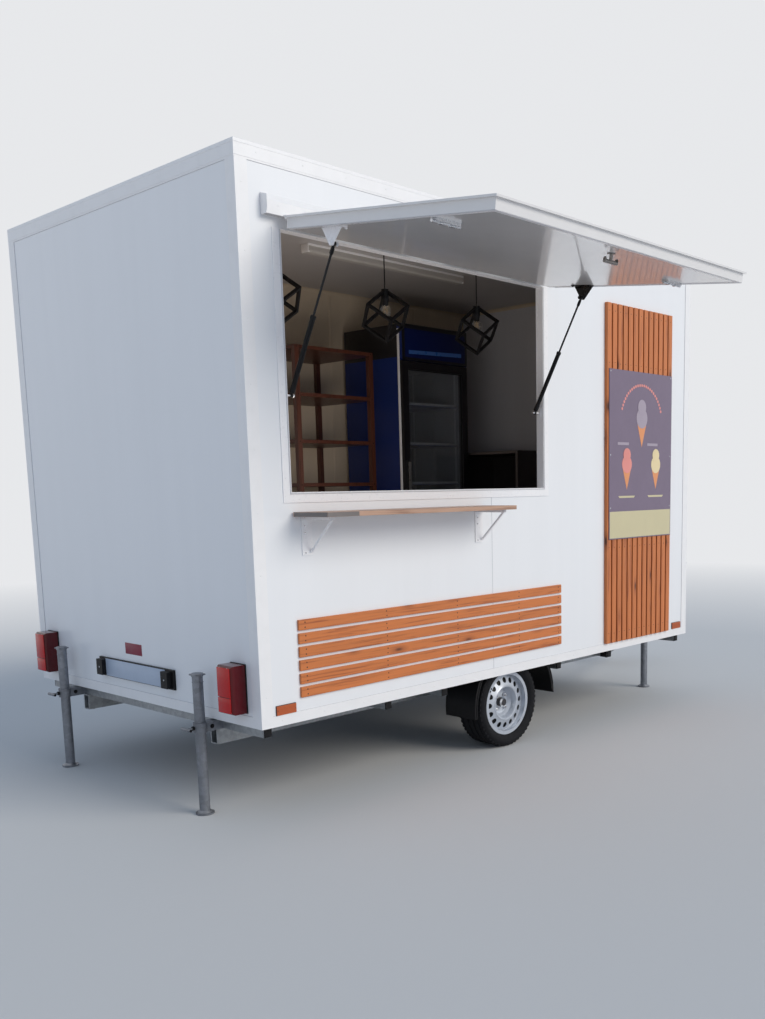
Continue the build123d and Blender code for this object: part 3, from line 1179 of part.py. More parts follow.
fork_high = tube_low - JOCKEY_STEM_GAP
fork_low = fork_high - JOCKEY_CROWN
wheel_z = JOCKEY_RAISED + JOCKEY_WHEEL_RADIUS
wheel_x = jockey_x - JOCKEY_TRAIL
cheek_in = JOCKEY_WHEEL_WIDTH / 2 + JOCKEY_CHEEK_GAP
cheek_out = cheek_in + JOCKEY_CHEEK
crown_x = (wheel_x - JOCKEY_CROWN_BACK, jockey_x + JOCKEY_CROWN_FRONT)
fork = block(*crown_x, jockey_y - cheek_out, jockey_y + cheek_out, fork_low, fork_high)
for side in (-1, 1):
    cheek_y = sorted((jockey_y + side * cheek_in, jockey_y + side * cheek_out))
    cheek_end = 2 * JOCKEY_PIN_RADIUS
    fork += prism_y(
        [
            (crown_x[0], fork_low),
            (crown_x[1], fork_low),
            (wheel_x + cheek_end, wheel_z - cheek_end),
            (wheel_x - cheek_end, wheel_z - cheek_end),
        ],
        *cheek_y,
    )
wheel_pin_y = (jockey_y - cheek_out - JOCKEY_PIN_HEAD, jockey_y + cheek_out + JOCKEY_PIN_HEAD)
fork += rod((wheel_x, wheel_pin_y[0], wheel_z), (wheel_x, wheel_pin_y[1], wheel_z), JOCKEY_PIN_RADIUS)
save("jockey_fork", fork)
save("jockey_stem", rod((jockey_x, jockey_y, fork_high), (jockey_x, jockey_y, tube_low + JOCKEY_BUSH),
                        JOCKEY_STEM_RADIUS))
half_jockey = JOCKEY_WHEEL_WIDTH / 2
jockey_profile = [
    (JOCKEY_PIN_RADIUS + JOCKEY_PIN_CLEARANCE, half_jockey),
    (JOCKEY_HUB_RADIUS, half_jockey),
    (JOCKEY_HUB_RADIUS, JOCKEY_WEB / 2),
    (JOCKEY_WEB_RADIUS, JOCKEY_WEB / 2),
    (JOCKEY_WEB_RADIUS, half_jockey - 6),
    (JOCKEY_WHEEL_RADIUS - 8, half_jockey - 4),
    (JOCKEY_WHEEL_RADIUS, half_jockey - 14),
]
save("jockey_wheel", turned(jockey_profile + mirrored(jockey_profile), wheel_x, jockey_y, wheel_z))

# Counter under the serving opening
counter_top = z_edge + COUNTER_TOP_UP
counter_x = (x_rear + COUNTER_START, x_rear + COUNTER_START + COUNTER_LENGTH)
counter_y = (serve_inside, serve_inside + COUNTER_DEPTH)
counter = block(*counter_x, *counter_y, counter_top - COUNTER_BOARD, counter_top)
front_y = counter_y[1] - COUNTER_TOE
shelf_top = z_edge + COUNTER_SHELF_UP
counter += block(*counter_x, counter_y[0], front_y, shelf_top - COUNTER_SIDE, shelf_top)
beside_box = box_half + BOX_SHEET + COUNTER_BOX_GAP
uprights = (
    counter_x[0],
    x_guard - beside_box - COUNTER_SIDE,
    x_guard + beside_box,
    counter_x[1] - COUNTER_SIDE,
)
for start in uprights:
    counter += block(start, start + COUNTER_SIDE, counter_y[0], front_y,
                     z_floor, counter_top - COUNTER_BOARD)
save("serving_counter", counter)

# Dark cabinet against the front wall
cabinet_x = (x_rear + CABINET_START, front_inside)
cabinet_y = (y_serve + CABINET_BESIDE, y_serve + CABINET_BESIDE + CABINET_WIDTH)
cabinet = block(*cabinet_x, *cabinet_y, z_floor, z_edge + CABINET_TOP_UP)
levels = (WALL + CABINET_BOARD,) + CABINET_SHELVES_UP + (CABINET_TOP_UP,)
for low, high in zip(levels, levels[1:]):
    cabinet -= block(cabinet_x[0] - 1, cabinet_x[1] - CABINET_BOARD, cabinet_y[0] + CABINET_BOARD,
                     cabinet_y[1] - CABINET_BOARD, z_edge + low, z_edge + high - CABINET_BOARD)
save("side_cabinet", cabinet)

# Open rack for packets, standing over the wheel box
rack_x = (x_rear + RACK_START, x_rear + RACK_START + RACK_LENGTH)
rack_y = (far_inside - RACK_DEPTH, far_inside)
rack_top = z_edge + RACK_TOP_UP
box_top = guard_top + BOX_SHEET
rack = block(*rack_x, *rack_y, rack_top - RACK_BOARD, rack_top)
for level in RACK_SHELVES_UP:
    rack += block(*rack_x, *rack_y, z_edge + level - RACK_BOARD, z_edge + level)
for post_x in (rack_x[0], rack_x[1] - RACK_POST):
    rack += block(post_x, post_x + RACK_POST, rack_y[0], rack_y[0] + RACK_POST, z_floor, rack_top)
    rack += block(post_x, post_x + RACK_POST, rack_y[1] - RACK_POST, rack_y[1], box_top, rack_top)
save("shelf_rack", rack)

# Drinks cooler with a glass door
fridge_x = (x_rear + FRIDGE_START, x_rear + FRIDGE_START + FRIDGE_LENGTH)
fridge_back = far_inside - FRIDGE_BACK_GAP
fridge_front = fridge_back - FRIDGE_DEPTH
fridge_top = z_edge + FRIDGE_TOP_UP
bay_z = (z_floor + FRIDGE_BASE, fridge_top - FRIDGE_HEADER)
body_front = fridge_front + FRIDGE_DOOR + FRIDGE_DOOR_GAP
fridge = block(*fridge_x, fridge_front, fridge_back, z_floor, fridge_top)
fridge -= block(fridge_x[0] - 1, fridge_x[1] + 1, fridge_front - 1, body_front, *bay_z)
bay_x = (fridge_x[0] + FRIDGE_WALL, fridge_x[1] - FRIDGE_WALL)
lining_z = (bay_z[0] + FRIDGE_LINING, bay_z[1] - FRIDGE_LINING)
fridge -= block(*bay_x, body_front - 1, fridge_back - FRIDGE_WALL, *lining_z)
shelf_pitch = (lining_z[1] - lining_z[0]) / (FRIDGE_SHELVES + 1)
for index in range(1, FRIDGE_SHELVES + 1):
    level = lining_z[0] + index * shelf_pitch
    fridge += block(*bay_x, body_front + FRIDGE_SHELF_SETBACK, fridge_back - FRIDGE_WALL,
                    level, level + FRIDGE_SHELF)
fridge_pin = (fridge_x[1] - FRIDGE_PIN_INSET, fridge_front + FRIDGE_PIN_INSET)
fridge += rod((*fridge_pin, bay_z[0]), (*fridge_pin, bay_z[0] + FRIDGE_PIN_REACH), FRIDGE_PIN_RADIUS)
fridge += rod((*fridge_pin, bay_z[1] - FRIDGE_PIN_REACH), (*fridge_pin, bay_z[1]), FRIDGE_PIN_RADIUS)
save("fridge_cabinet", fridge)
fridge_door_z = (bay_z[0] + FRIDGE_DOOR_GAP, bay_z[1] - FRIDGE_DOOR_GAP)
fridge_door = block(*fridge_x, fridge_front, fridge_front + FRIDGE_DOOR, *fridge_door_z)
pane_x = (fridge_x[0] + FRIDGE_DOOR_STILE, fridge_x[1] - FRIDGE_DOOR_STILE)
pane_z = (fridge_door_z[0] + FRIDGE_DOOR_STILE, fridge_door_z[1] - FRIDGE_DOOR_STILE)
fridge_door -= block(*pane_x, fridge_front - 1, fridge_front + FRIDGE_DOOR + 1, *pane_z)
for end, way in ((fridge_door_z[0], 1), (fridge_door_z[1], -1)):
    fridge_door -= rod((*fridge_pin, end - way), (*fridge_pin, end + way * FRIDGE_PIN_REACH),
                       FRIDGE_PIN_RADIUS + FRIDGE_PIN_CLEARANCE)
fridge_pull_x = fridge_x[0] + FRIDGE_PULL_INSET
fridge_pull_z = (bay_z[0] + bay_z[1] - FRIDGE_PULL_HEIGHT) / 2
fridge_door += block(fridge_pull_x, fridge_pull_x + FRIDGE_PULL_WIDTH,
                     fridge_front - FRIDGE_PULL_OUT, fridge_front,
                     fridge_pull_z, fridge_pull_z + FRIDGE_PULL_HEIGHT)
save("fridge_door", fridge_door)
pane_y = fridge_front + FRIDGE_PANE_DEPTH
save("fridge_glass", block(*pane_x, pane_y, pane_y + FRIDGE_GLASS, *pane_z))

# Lights under the ceiling
batten_x = x_rear + BATTEN_START
batten_y = y_serve + BATTEN_BESIDE
batten = block(batten_x, batten_x + BATTEN_LENGTH, batten_y - BATTEN_WIDTH / 2, batten_y + BATTEN_WIDTH / 2,
               z_ceiling - BATTEN_DEPTH, z_ceiling)
save("batten_light", fillet(batten.edges().filter_by(Axis.X).group_by(Axis.Z)[0], BATTEN_ROUND))
cages, bulbs = [], []
cage_gap = CAGE_EDGE - 2 * CAGE_BAR
corner_up = CAGE_EDGE * sqrt(3) / 2
for place in PENDANT_PLACES:
    middle_x, middle_y = x_rear + place, y_serve + PENDANT_BESIDE
    middle_z = z_ceiling - PENDANT_DROP
    cube = Box(CAGE_EDGE, CAGE_EDGE, CAGE_EDGE)
    for size in (
        (CAGE_EDGE + 2, cage_gap, cage_gap),
        (cage_gap, CAGE_EDGE + 2, cage_gap),
        (cage_gap, cage_gap, CAGE_EDGE + 2),
    ):
        cube -= Box(*size)
    cube = Pos(middle_x, middle_y, middle_z) * Rot(0, degrees(atan2(sqrt(2), 1)), 0) * Rot(0, 0, 45) * cube
    holder_top = middle_z + corner_up
    holder_low = holder_top - LAMP_HOLDER_HEIGHT
    flex = rod((middle_x, middle_y, holder_top - 20), (middle_x, middle_y, z_ceiling), FLEX_RADIUS)
    rose = rod((middle_x, middle_y, z_ceiling - ROSE_HEIGHT), (middle_x, middle_y, z_ceiling), ROSE_RADIUS)
    holder = rod((middle_x, middle_y, holder_low), (middle_x, middle_y, holder_top - 8), HOLDER_RADIUS)
    cages.append(cube + holder + flex + rose)
    neck_low = holder_low - BULB_NECK
    neck = rod((middle_x, middle_y, neck_low), (middle_x, middle_y, holder_low), BULB_NECK_RADIUS)
    globe = Pos(middle_x, middle_y, neck_low - BULB_RADIUS * 0.6) * Sphere(BULB_RADIUS)
    bulbs.append(neck + globe)
save("pendant_cages", together(cages))
save("pendant_bulbs", together(bulbs))
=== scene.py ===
import json
import random
from math import cos, pi, radians, sin

import bmesh
import bpy
from mathutils import Matrix, Vector


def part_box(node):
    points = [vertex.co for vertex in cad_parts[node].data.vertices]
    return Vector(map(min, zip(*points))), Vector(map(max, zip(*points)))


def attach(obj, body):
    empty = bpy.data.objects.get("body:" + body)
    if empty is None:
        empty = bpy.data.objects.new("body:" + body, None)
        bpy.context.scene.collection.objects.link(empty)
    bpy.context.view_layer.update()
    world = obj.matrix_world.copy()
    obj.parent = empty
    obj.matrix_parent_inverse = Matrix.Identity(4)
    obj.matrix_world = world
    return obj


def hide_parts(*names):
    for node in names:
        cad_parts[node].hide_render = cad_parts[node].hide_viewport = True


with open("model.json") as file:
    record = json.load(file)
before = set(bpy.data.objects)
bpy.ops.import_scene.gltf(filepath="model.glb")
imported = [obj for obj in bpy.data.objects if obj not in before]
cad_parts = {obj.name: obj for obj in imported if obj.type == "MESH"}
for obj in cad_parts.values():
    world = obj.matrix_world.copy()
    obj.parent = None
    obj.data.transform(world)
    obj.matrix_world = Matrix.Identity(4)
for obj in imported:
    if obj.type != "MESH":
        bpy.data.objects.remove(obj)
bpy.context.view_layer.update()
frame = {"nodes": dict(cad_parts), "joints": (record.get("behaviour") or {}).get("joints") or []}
random.seed(7)

# Places shared by the pieces, read from the frame, in metres
sill_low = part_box("sill_profile")[0]
REAR, NEAR, EDGE = sill_low
joint_at = {joint["name"]: Vector(joint["pos_m"]) for joint in frame["joints"] if "pos_m" in joint}
HINGE = joint_at["hatch_hinge"]
LID_OPEN = radians(83.2)
LID_INWARD = Vector((0, cos(LID_OPEN), -sin(LID_OPEN)))
LID_DOWN = Vector((0, -sin(LID_OPEN), -cos(LID_OPEN)))

# Directions
FORWARD, REARWARD = Vector((1, 0, 0)), Vector((-1, 0, 0))
FARWARD, NEARWARD = Vector((0, 1, 0)), Vector((0, -1, 0))
UP, DOWN = Vector((0, 0, 1)), Vector((0, 0, -1))
SIDES = (("near", -1), ("far", 1))
ENDS = ("rear", "front")


def at(x, y, z):
    """A point in millimetres forward of the rear, inward of the serving side and above the body's edge."""
    return Vector((REAR + x / 1000, NEAR + y / 1000, EDGE + z / 1000))


def lid(x, inward, down):
    """A point on the open hatch, in millimetres."""
    corner = Vector((REAR + x / 1000, HINGE.y, HINGE.z))
    return corner + LID_INWARD * (inward / 1000) + LID_DOWN * (down / 1000)


def edges(node):
    """The box of a CAD node in the same millimetres, as three ranges."""
    low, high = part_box(node)
    ranges = [((low[i] - sill_low[i]) * 1000, (high[i] - sill_low[i]) * 1000) for i in range(3)]
    return [tuple(round(value, 1) for value in pair) for pair in ranges]


def steps(first, last, count):
    """Evenly spaced values from first to last."""
    return [first + (last - first) * index / (count - 1) for index in range(count)]


def inset(span, margin):
    """A range made shorter by a margin at both ends."""
    return (span[0] + margin, span[1] - margin)


def spaced(span, margin, count):
    """Evenly spaced values in a range, a margin away from its ends."""
    return steps(*inset(span, margin), count)


def about(middle, half):
    """The range that reaches equally far to both sides of a value."""
    return (middle - half, middle + half)


def mid(span):
    """The middle of a range."""
    return (span[0] + span[1]) / 2


def meetings(x, y, z):
    """Each meeting of the values of x, y and z, where each is one number or several."""
    xs, ys, zs = [value if isinstance(value, (list, tuple)) else (value,) for value in (x, y, z)]
    return [(i, j, k) for i in xs for j in ys for k in zs]


# The body's own measures in those millimetres
LENGTH, WIDTH, SILL_TOP = [span[1] for span in edges("sill_profile")]
ROOF_RAIL, HEIGHT = edges("roof_profile")[2]
NEAR_FACE, NEAR_INSIDE = edges("serving_wall")[1]
FAR_INSIDE, FAR_FACE = edges("far_wall")[1]
REAR_FACE, REAR_INSIDE = edges("rear_wall")[0]
FRONT_INSIDE, FRONT_FACE = edges("front_wall")[0]
CEILING = edges("roof_panel")[2][0]
FLOOR = 40.0
CORNER = 62.0
FLANGE = 45.0
EDGE_INSET = 4.0
MIDDLE_Y = WIDTH / 2
BODY_X, BODY_Y = (0.0, LENGTH), (0.0, WIDTH)
INSIDE_X, INSIDE_Y = (REAR_INSIDE, FRONT_INSIDE), (NEAR_INSIDE, FAR_INSIDE)
frame_x, frame_y, frame_z = edges("opening_frame")
OPEN_X = inset(frame_x, FLANGE)
OPEN_Z = (frame_z[0] + FLANGE, frame_z[1] - 3.0)
POSTER_UP = edges("poster_board")[2]


def placed(name, data):
    """A new object in the scene."""
    made = bpy.data.objects.new(name, data)
    bpy.context.scene.collection.objects.link(made)
    return made


# Mesh building
class Shape:
    """A mesh that is put together from simple solids."""

    def __init__(self):
        self.mesh = bmesh.new()

    def block(self, x, y, z):
        """A box between ranges in millimetres."""
        low, high = at(x[0], y[0], z[0]), at(x[1], y[1], z[1])
        size, middle = high - low, (low + high) / 2
        for vert in bmesh.ops.create_cube(self.mesh, size=1.0)["verts"]:
            vert.co = Vector((vert.co.x * size.x, vert.co.y * size.y, vert.co.z * size.z)) + middle
        return self

    def ring_of_blocks(self, x, y, z, width, open_top=False):
        """A flat rectangular frame that lies between two values of y."""
        between = inset(x, width)
        self.block((x[0], between[0]), y, z)
        self.block((between[1], x[1]), y, z)
        self.block(between, y, (z[0], z[0] + width))
        if not open_top:
            self.block(between, y, (z[1] - width, z[1]))
        return self

    def lid_block(self, x, inward, down):
        """A box on the hatch: x along it, then inward and down from the hinge of the closed hatch."""
        for vert in bmesh.ops.create_cube(self.mesh, size=1.0)["verts"]:
            part = [pair[0] + (pair[1] - pair[0]) * (value + 0.5)
                    for pair, value in zip((x, inward, down), vert.co)]
            vert.co = lid(*part)
        return self

    def bar(self, start, end, radius, sides=16, end_radius=None):
        """A round bar between two points, tapered if asked. The radius is in millimetres."""
        way = end - start
        matrix = way.to_track_quat("Z", "Y").to_matrix()
        for vert in bmesh.ops.create_cone(
            self.mesh, cap_ends=True, segments=sides, radius1=radius / 1000,
            radius2=(radius if end_radius is None else end_radius) / 1000, depth=way.length,
        )["verts"]:
            vert.co = matrix @ vert.co + (start + end) / 2
        return self

    def stack(self, point, axis, *parts):
        """Bars along an axis: for each its start, end, radius, sides and end radius."""
        for start, end, *size in parts:
            self.bar(point + axis * (start / 1000), point + axis * (end / 1000), *size)
        return self

    def rods(self, x, y, z, radius):
        """Thin bars along the axis that is given as a range, one for each meeting of the listed others."""
        for place in meetings(*[value if isinstance(value, list) else [value] for value in (x, y, z)]):
            ends = [[value[end] if isinstance(value, tuple) else value for value in place] for end in (0, 1)]
            self.bar(at(*ends[0]), at(*ends[1]), radius, 6)
        return self

    def chain(self, points, radius, sides=8):
        """Bars from point to point."""
        for start, end in zip(points, points[1:]):
            self.bar(start, end, radius, sides)
        return self

    def lathe(self, profile, centre, axis, sides=64):
        """A closed profile of (radius, along) in millimetres turned about an axis."""
        turn = axis.to_track_quat("Z", "Y").to_matrix()
        rings = []
        for radius, along in profile:
            ring = []
            for index in range(sides):
                angle = 2 * pi * index / sides
                point = Vector((radius * cos(angle), radius * sin(angle), along)) / 1000
                ring.append(self.mesh.verts.new(turn @ point + centre))
            rings.append(ring)
        for low, high in list(zip(rings, rings[1:])) + [(rings[-1], rings[0])]:
            for index in range(sides):
                after = (index + 1) % sides
                self.mesh.faces.new((low[index], low[after], high[after], high[index]))
        return self

    def sheet(self, points, depth):
        """A flat outline of points, given a thickness along a vector in millimetres."""
        depth = Vector(depth) / 1000
        lower = [self.mesh.verts.new(point) for point in points]
        upper = [self.mesh.verts.new(point + depth) for point in points]
        self.mesh.faces.new(lower)
        self.mesh.faces.new(list(reversed(upper)))
        for index in range(len(points)):
            after = (index + 1) % len(points)
            self.mesh.faces.new((lower[index], upper[index], upper[after], lower[after]))
        return self

    def bolts(self, x, y, z, axis, across=13.0, high=6.0, place=at):
        """Hexagon heads with their washers wherever the values of x, y and z meet."""
        washer = high * 0.25
        for point in meetings(x, y, z):
            self.stack(place(*point), axis, (0, washer, across * 0.85, 16),
                       (washer, high, across * 0.58, 6, across * 0.53))
        return self

    def rivets(self, x, y, z, axis, radius=3.2, high=1.2, sides=8, place=at):
        """Low round heads wherever the values of x, y and z meet."""
        for point in meetings(x, y, z):
            self.stack(place(*point), axis, (0, high, radius, sides, radius * 0.6))
        return self

    def piece(self, name, material, body="body", bevel=0.0, smooth=True, slot=None):
        """Turns the mesh into a piece that rides on a body."""
        bmesh.ops.recalc_face_normals(self.mesh, faces=self.mesh.faces)
        data = bpy.data.meshes.new(name)
        self.mesh.to_mesh(data)
        self.mesh.free()
        made = placed(name, data)
        data.materials.append(material)
        if bevel:
            rounded = made.modifiers.new("edges", "BEVEL")
            rounded.width = bevel / 1000
            rounded.segments = 2
            rounded.limit_method = "ANGLE"
            rounded.angle_limit = radians(35)
        if smooth:
            for face in data.polygons:
                face.use_smooth = True
            edge = made.modifiers.new("sharp", "EDGE_SPLIT")
            edge.split_angle = radians(38)
        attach(made, body)
        return made


def circle(middle, radius, sides=28, start=0.0, turn=2 * pi):
    """Points of a circle or an arc in a plane that faces the serving side."""
    x, y, z = middle
    count = sides if turn >= 2 * pi else sides + 1
    angles = [start + turn * index / sides for index in range(count)]
    return [at(x + radius * cos(angle), y, z + radius * sin(angle)) for angle in angles]


# Materials
def linear(red, green, blue):
    """A screen colour from 0 to 255 as linear values."""
    values = [c / 255 for c in (red, green, blue)]
    return [c / 12.92 if c <= 0.04045 else ((c + 0.055) / 1.055) ** 2.4 for c in values]


def shaded(colour, factor):
    return tuple(min(1.0, c * factor) for c in colour)


def add_node(tree, kind, inputs, **settings):
    """The outputs of a new node, whose inputs are values or the outputs of other nodes."""
    node = tree.nodes.new(kind)
    for key, value in settings.items():
        setattr(node, key, value)
    for socket, value in inputs.items():
        if isinstance(value, bpy.types.NodeSocket):
            tree.links.new(value, node.inputs[socket])
        else:
            node.inputs[socket].default_value = value
    return node.outputs


class Finish:
    """A material with its node tree."""

    def __init__(self, name, colour, roughness, metallic=0.0, coat=0.0, specular=0.5):
        self.material = bpy.data.materials.new(name)
        self.material.use_nodes = True
        self.tree = self.material.node_tree
        self.shader = self.tree.nodes["Principled BSDF"]
        self.set("Base Color", (*colour, 1.0))
        self.set("Roughness", roughness)
        self.set("Metallic", metallic)
        self.set("Coat Weight", coat)
        self.set("Specular IOR Level", specular)
        self.place = self.add("ShaderNodeTexCoord", {})["Object"]

    def set(self, socket, value):
        """Gives a socket of the shader a constant value."""
        self.shader.inputs[socket].default_value = value

    def link(self, source, socket):
        """Feeds a socket of the shader."""
        self.tree.links.new(source, self.shader.inputs[socket])

    def add(self, kind, inputs, **settings):
        return add_node(self.tree, kind, inputs, **settings)

    def scaled(self, scale, place=None):
        """The object's place stretched by a scale for each axis."""
        return self.add("ShaderNodeMapping", {"Scale": scale, "Vector": place or self.place})["Vector"]

    def noise(self, scale, detail=4.0, place=None, distortion=0.0):
        inputs = {"Scale": scale, "Detail": detail, "Roughness": 0.55, "Distortion": distortion}
        return self.add("ShaderNodeTexNoise", {**inputs, "Vector": place or self.place})["Fac"]

    def cells(self, scale, place=None):
        """The outputs of a cell texture."""
        return self.add("ShaderNodeTexVoronoi", {"Scale": scale, "Vector": place or self.place})

    def ramp(self, source, *stops):
        """Colours or greys at places along a value."""
        made = self.add("ShaderNodeValToRGB", {"Fac": source})["Color"]
        band = made.node.color_ramp
        while len(band.elements) < len(stops):
            band.elements.new(0.5)
        for element, (place, value) in zip(band.elements, stops):
            colour = value if isinstance(value, (tuple, list)) else (value, value, value)
            element.position = place
            element.color = (*colour, 1.0)
        return made

    def mix(self, factor, first, second, kind="MIX"):
        """Two colours mixed by a value or a number."""
        inputs = {0: factor}
        for socket, value in ((6, first), (7, second)):
            inputs[socket] = (*value, 1.0) if isinstance(value, (tuple, list)) else value
        return self.add("ShaderNodeMix", inputs, data_type="RGBA", blend_type=kind)[2]

    def patches(self, first, second, source, low, high, most=1.0):
        """One colour that passes into a second one where a value rises from low to high."""
        return self.mix(self.ramp(source, (low, 0.0), (high, most)), first, second)

    def beyond(self, axis, limit):
        """1 where the object's place along an axis is past a limit in metres, 0 elsewhere."""
        along = self.add("ShaderNodeSeparateXYZ", {"Vector": self.place})[axis]
        return self.add("ShaderNodeMath", {0: along, 1: limit}, operation="GREATER_THAN")["Value"]

    def bump(self, source, strength, distance=0.001):
        inputs = {"Strength": strength, "Distance": distance, "Height": source}
        self.link(self.add("ShaderNodeBump", inputs)["Normal"], "Normal")

    def tint(self, source):
        self.link(source, "Base Color")

    def rough(self, source, low, high):
        self.link(self.ramp(source, (0.3, low), (0.7, high)), "Roughness")


def panel_finish(name, colour, roughness, dirt=0.97, coat=0.25):
    """Smooth sheet with faint rain streaks and a barely visible ripple."""
    made = Finish(name, colour, roughness, coat=coat)
    dull = shaded(colour, dirt)
    streaked = made.patches(colour, dull, made.noise(2.0, 2.0, made.scaled((5.0, 5.0, 0.4))), 0.3, 0.9)
    made.tint(made.patches(streaked, dull, made.noise(0.8, 2.0), 0.3, 0.9, 0.7))
    made.rough(made.noise(1.5, 2.0), roughness - 0.02, roughness + 0.03)
    made.bump(made.noise(3.0, 1.0), 0.02, 0.002)
    return made.material


def zinc_finish(name, colour, roughness=0.42):
    """Galvanised steel with its spangle."""
    made = Finish(name, colour, roughness, metallic=0.7)
    grains = made.cells(60.0)["Color"]
    spangle = made.ramp(grains, (0.2, shaded(colour, 0.84)), (0.8, shaded(colour, 1.06)))
    made.tint(made.patches(spangle, shaded(colour, 0.62), made.noise(3.0), 0.45, 0.7, 0.5))
    made.rough(made.noise(30.0), roughness - 0.08, roughness + 0.14)
    made.bump(made.noise(160.0, 2.0), 0.08)
    return made.material


def metal_finish(name, colour, roughness, metallic=0.0, wear=0.88, shine=0.5):
    """Painted or bare metal with small scratches and patches."""
    made = Finish(name, colour, roughness, metallic=metallic, coat=0.2 * shine, specular=shine)
    made.tint(made.patches(colour, shaded(colour, wear), made.noise(14.0, 6.0), 0.45, 0.8))
    made.rough(made.noise(60.0), roughness - 0.05, roughness + 0.08)
    made.bump(made.noise(220.0, 2.0), 0.05, 0.0006)
    return made.material


def plastic_finish(name, colour, roughness, grain=180.0, strength=0.15, lift=1.25, shine=0.5):
    """Moulded plastic with a fine grain."""
    made = Finish(name, colour, roughness, specular=shine)
    made.tint(made.patches(colour, shaded(colour, lift), made.noise(7.0, 4.0), 0.4, 0.85))
    made.rough(made.noise(40.0), roughness - 0.05, roughness + 0.07)
    made.bump(made.noise(grain, 2.0), strength, 0.0006)
    return made.material


def timber_finish(name, along, light, dark, roughness=0.5, knotty=True, white_below=None):
    """Wood, each board with its own grain and tone. Below a height in metres it is painted white."""
    made = Finish(name, light, roughness, coat=0.1)
    board = made.add("ShaderNodeNewGeometry", {})["Random Per Island"]
    shift = made.add("ShaderNodeVectorMath", {0: (7.3, 5.1, 9.7), "Scale": board}, operation="SCALE")
    moved = made.add("ShaderNodeVectorMath", {0: made.place, 1: shift["Vector"]}, operation="ADD")

    def stretched(across, lengthwise):
        return made.scaled([lengthwise if axis == along else across for axis in "xyz"], moved["Vector"])

    grain = made.noise(3.0, 6.0, stretched(30.0, 1.1), 0.4)
    tones = ((0.32, shaded(dark, 1.15)), (0.46, light), (0.6, shaded(light, 1.08)), (0.74, light))
    colour = made.ramp(grain, *tones)
    colour = made.mix(1.0, colour, made.ramp(board, (0.0, 0.9), (0.5, 1.0), (1.0, 0.95)), "MULTIPLY")
    if knotty:
        knots = made.cells(1.0, stretched(10.0, 3.2))["Distance"]
        colour = made.mix(made.ramp(knots, (0.1, 0.6), (0.24, 0.0)), colour, shaded(dark, 0.95))
        colour = made.mix(made.ramp(knots, (0.05, 1.0), (0.11, 0.0)), colour, shaded(dark, 0.3))
    if white_below is not None:
        colour = made.mix(made.beyond("Z", white_below), white, colour)
    made.tint(colour)
    made.rough(grain, roughness - 0.06, roughness + 0.1)
    made.bump(grain, 0.2, 0.0005)
    return made.material


def glass_finish(name, colour, roughness=0.03, alpha=0.25):
    """Clear pane or bulb with faint smears."""
    made = Finish(name, colour, roughness, coat=0.3)
    made.set("Transmission Weight", 0.9)
    made.set("IOR", 1.45)
    made.set("Alpha", alpha)
    made.rough(made.noise(12.0), roughness, roughness + 0.05)
    return made.material


def lens_finish(name, colour, roughness=0.14):
    """Moulded lamp lens with its inner prisms as fine ribs."""
    made = Finish(name, colour, roughness, coat=0.2, specular=0.3)
    inputs = {"Scale": 60.0, "Vector": made.place}
    ribs = made.add("ShaderNodeTexWave", inputs, wave_type="BANDS", bands_direction="Z")["Fac"]
    made.tint(made.mix(ribs, colour, shaded(colour, 0.72)))
    made.bump(ribs, 0.1, 0.0006)
    made.rough(made.noise(30.0), roughness, roughness + 0.06)
    return made.material


def fittings_finish(name, pale, black, bright, handle, chrome_past, black_past, handle_past):
    """Painted brackets near the hinge, one white and one black, then bright latches, then a dull handle."""
    made = Finish(name, pale, 0.3, coat=0.1)
    paint = made.mix(made.beyond("X", black_past), pale, black)
    near_hinge = made.beyond("Y", chrome_past)
    latches = made.mix(made.beyond("Y", handle_past), handle, bright)
    worn = made.patches(latches, shaded(bright, 0.5), made.noise(40.0), 0.4, 0.8, 0.2)
    made.tint(made.mix(near_hinge, worn, paint))
    made.link(made.ramp(near_hinge, (0.0, 0.9), (1.0, 0.0)), "Metallic")
    made.rough(made.noise(50.0), 0.2, 0.34)
    made.bump(made.noise(220.0, 2.0), 0.05)
    return made.material


def floor_finish(name, colour, roughness):
    """Non-slip floor with raised lozenges."""
    made = Finish(name, colour, roughness)
    lozenges = made.cells(1.0, made.scaled((30.0, 60.0, 1.0)))["Distance"]
    made.tint(made.patches(colour, shaded(colour, 0.7), made.noise(5.0), 0.4, 0.8))
    made.rough(made.noise(30.0), roughness - 0.05, roughness + 0.1)
    made.bump(lozenges, 0.5, 0.001)
    return made.material


white = linear(236, 237, 240)
SKIN = panel_finish("white_skin", white, 0.3)
LID_SKIN = panel_finish("hatch_skin", linear(226, 224, 224), 0.22, 0.96, 0.5)
LINING = panel_finish("cream_lining", linear(206, 190, 168), 0.42, 0.9, 0.1)
# The ceiling's grey-brown is how it looks in shade, so its darker tone is painted shade on the lining.
CEILING_SHADED_SKIN = panel_finish("ceiling_lining_shaded", linear(176, 172, 172), 0.4, 0.92, 0.1)
FRONT_LINING = panel_finish("grey_lining", linear(196, 196, 202), 0.5, 0.9, 0.05)
PROFILE = metal_finish("white_profile", linear(238, 237, 238), 0.33, wear=0.96)
FRAME = metal_finish("white_frame", linear(240, 239, 241), 0.3, wear=0.97)
SEALANT = plastic_finish("sealant_bead", linear(200, 200, 204), 0.55, lift=1.06)
SEAM = plastic_finish("panel_seam", linear(186, 188, 194), 0.5, lift=1.05)
ZINC = zinc_finish("galvanised_steel", linear(160, 164, 168))
# A darker zinc than the chassis, for the stands and their clamps.
DULL_ZINC = zinc_finish("darker_zinc", linear(132, 136, 144), 0.45)
ALUMINIUM = metal_finish("bare_aluminium", linear(190, 192, 196), 0.3, 0.9)
CHROME = metal_finish("bright_chrome", linear(206, 208, 212), 0.16, 1.0, 0.92)
BLACK_METAL = metal_finish("black_metal", linear(12, 12, 15), 0.4, shine=0.2)
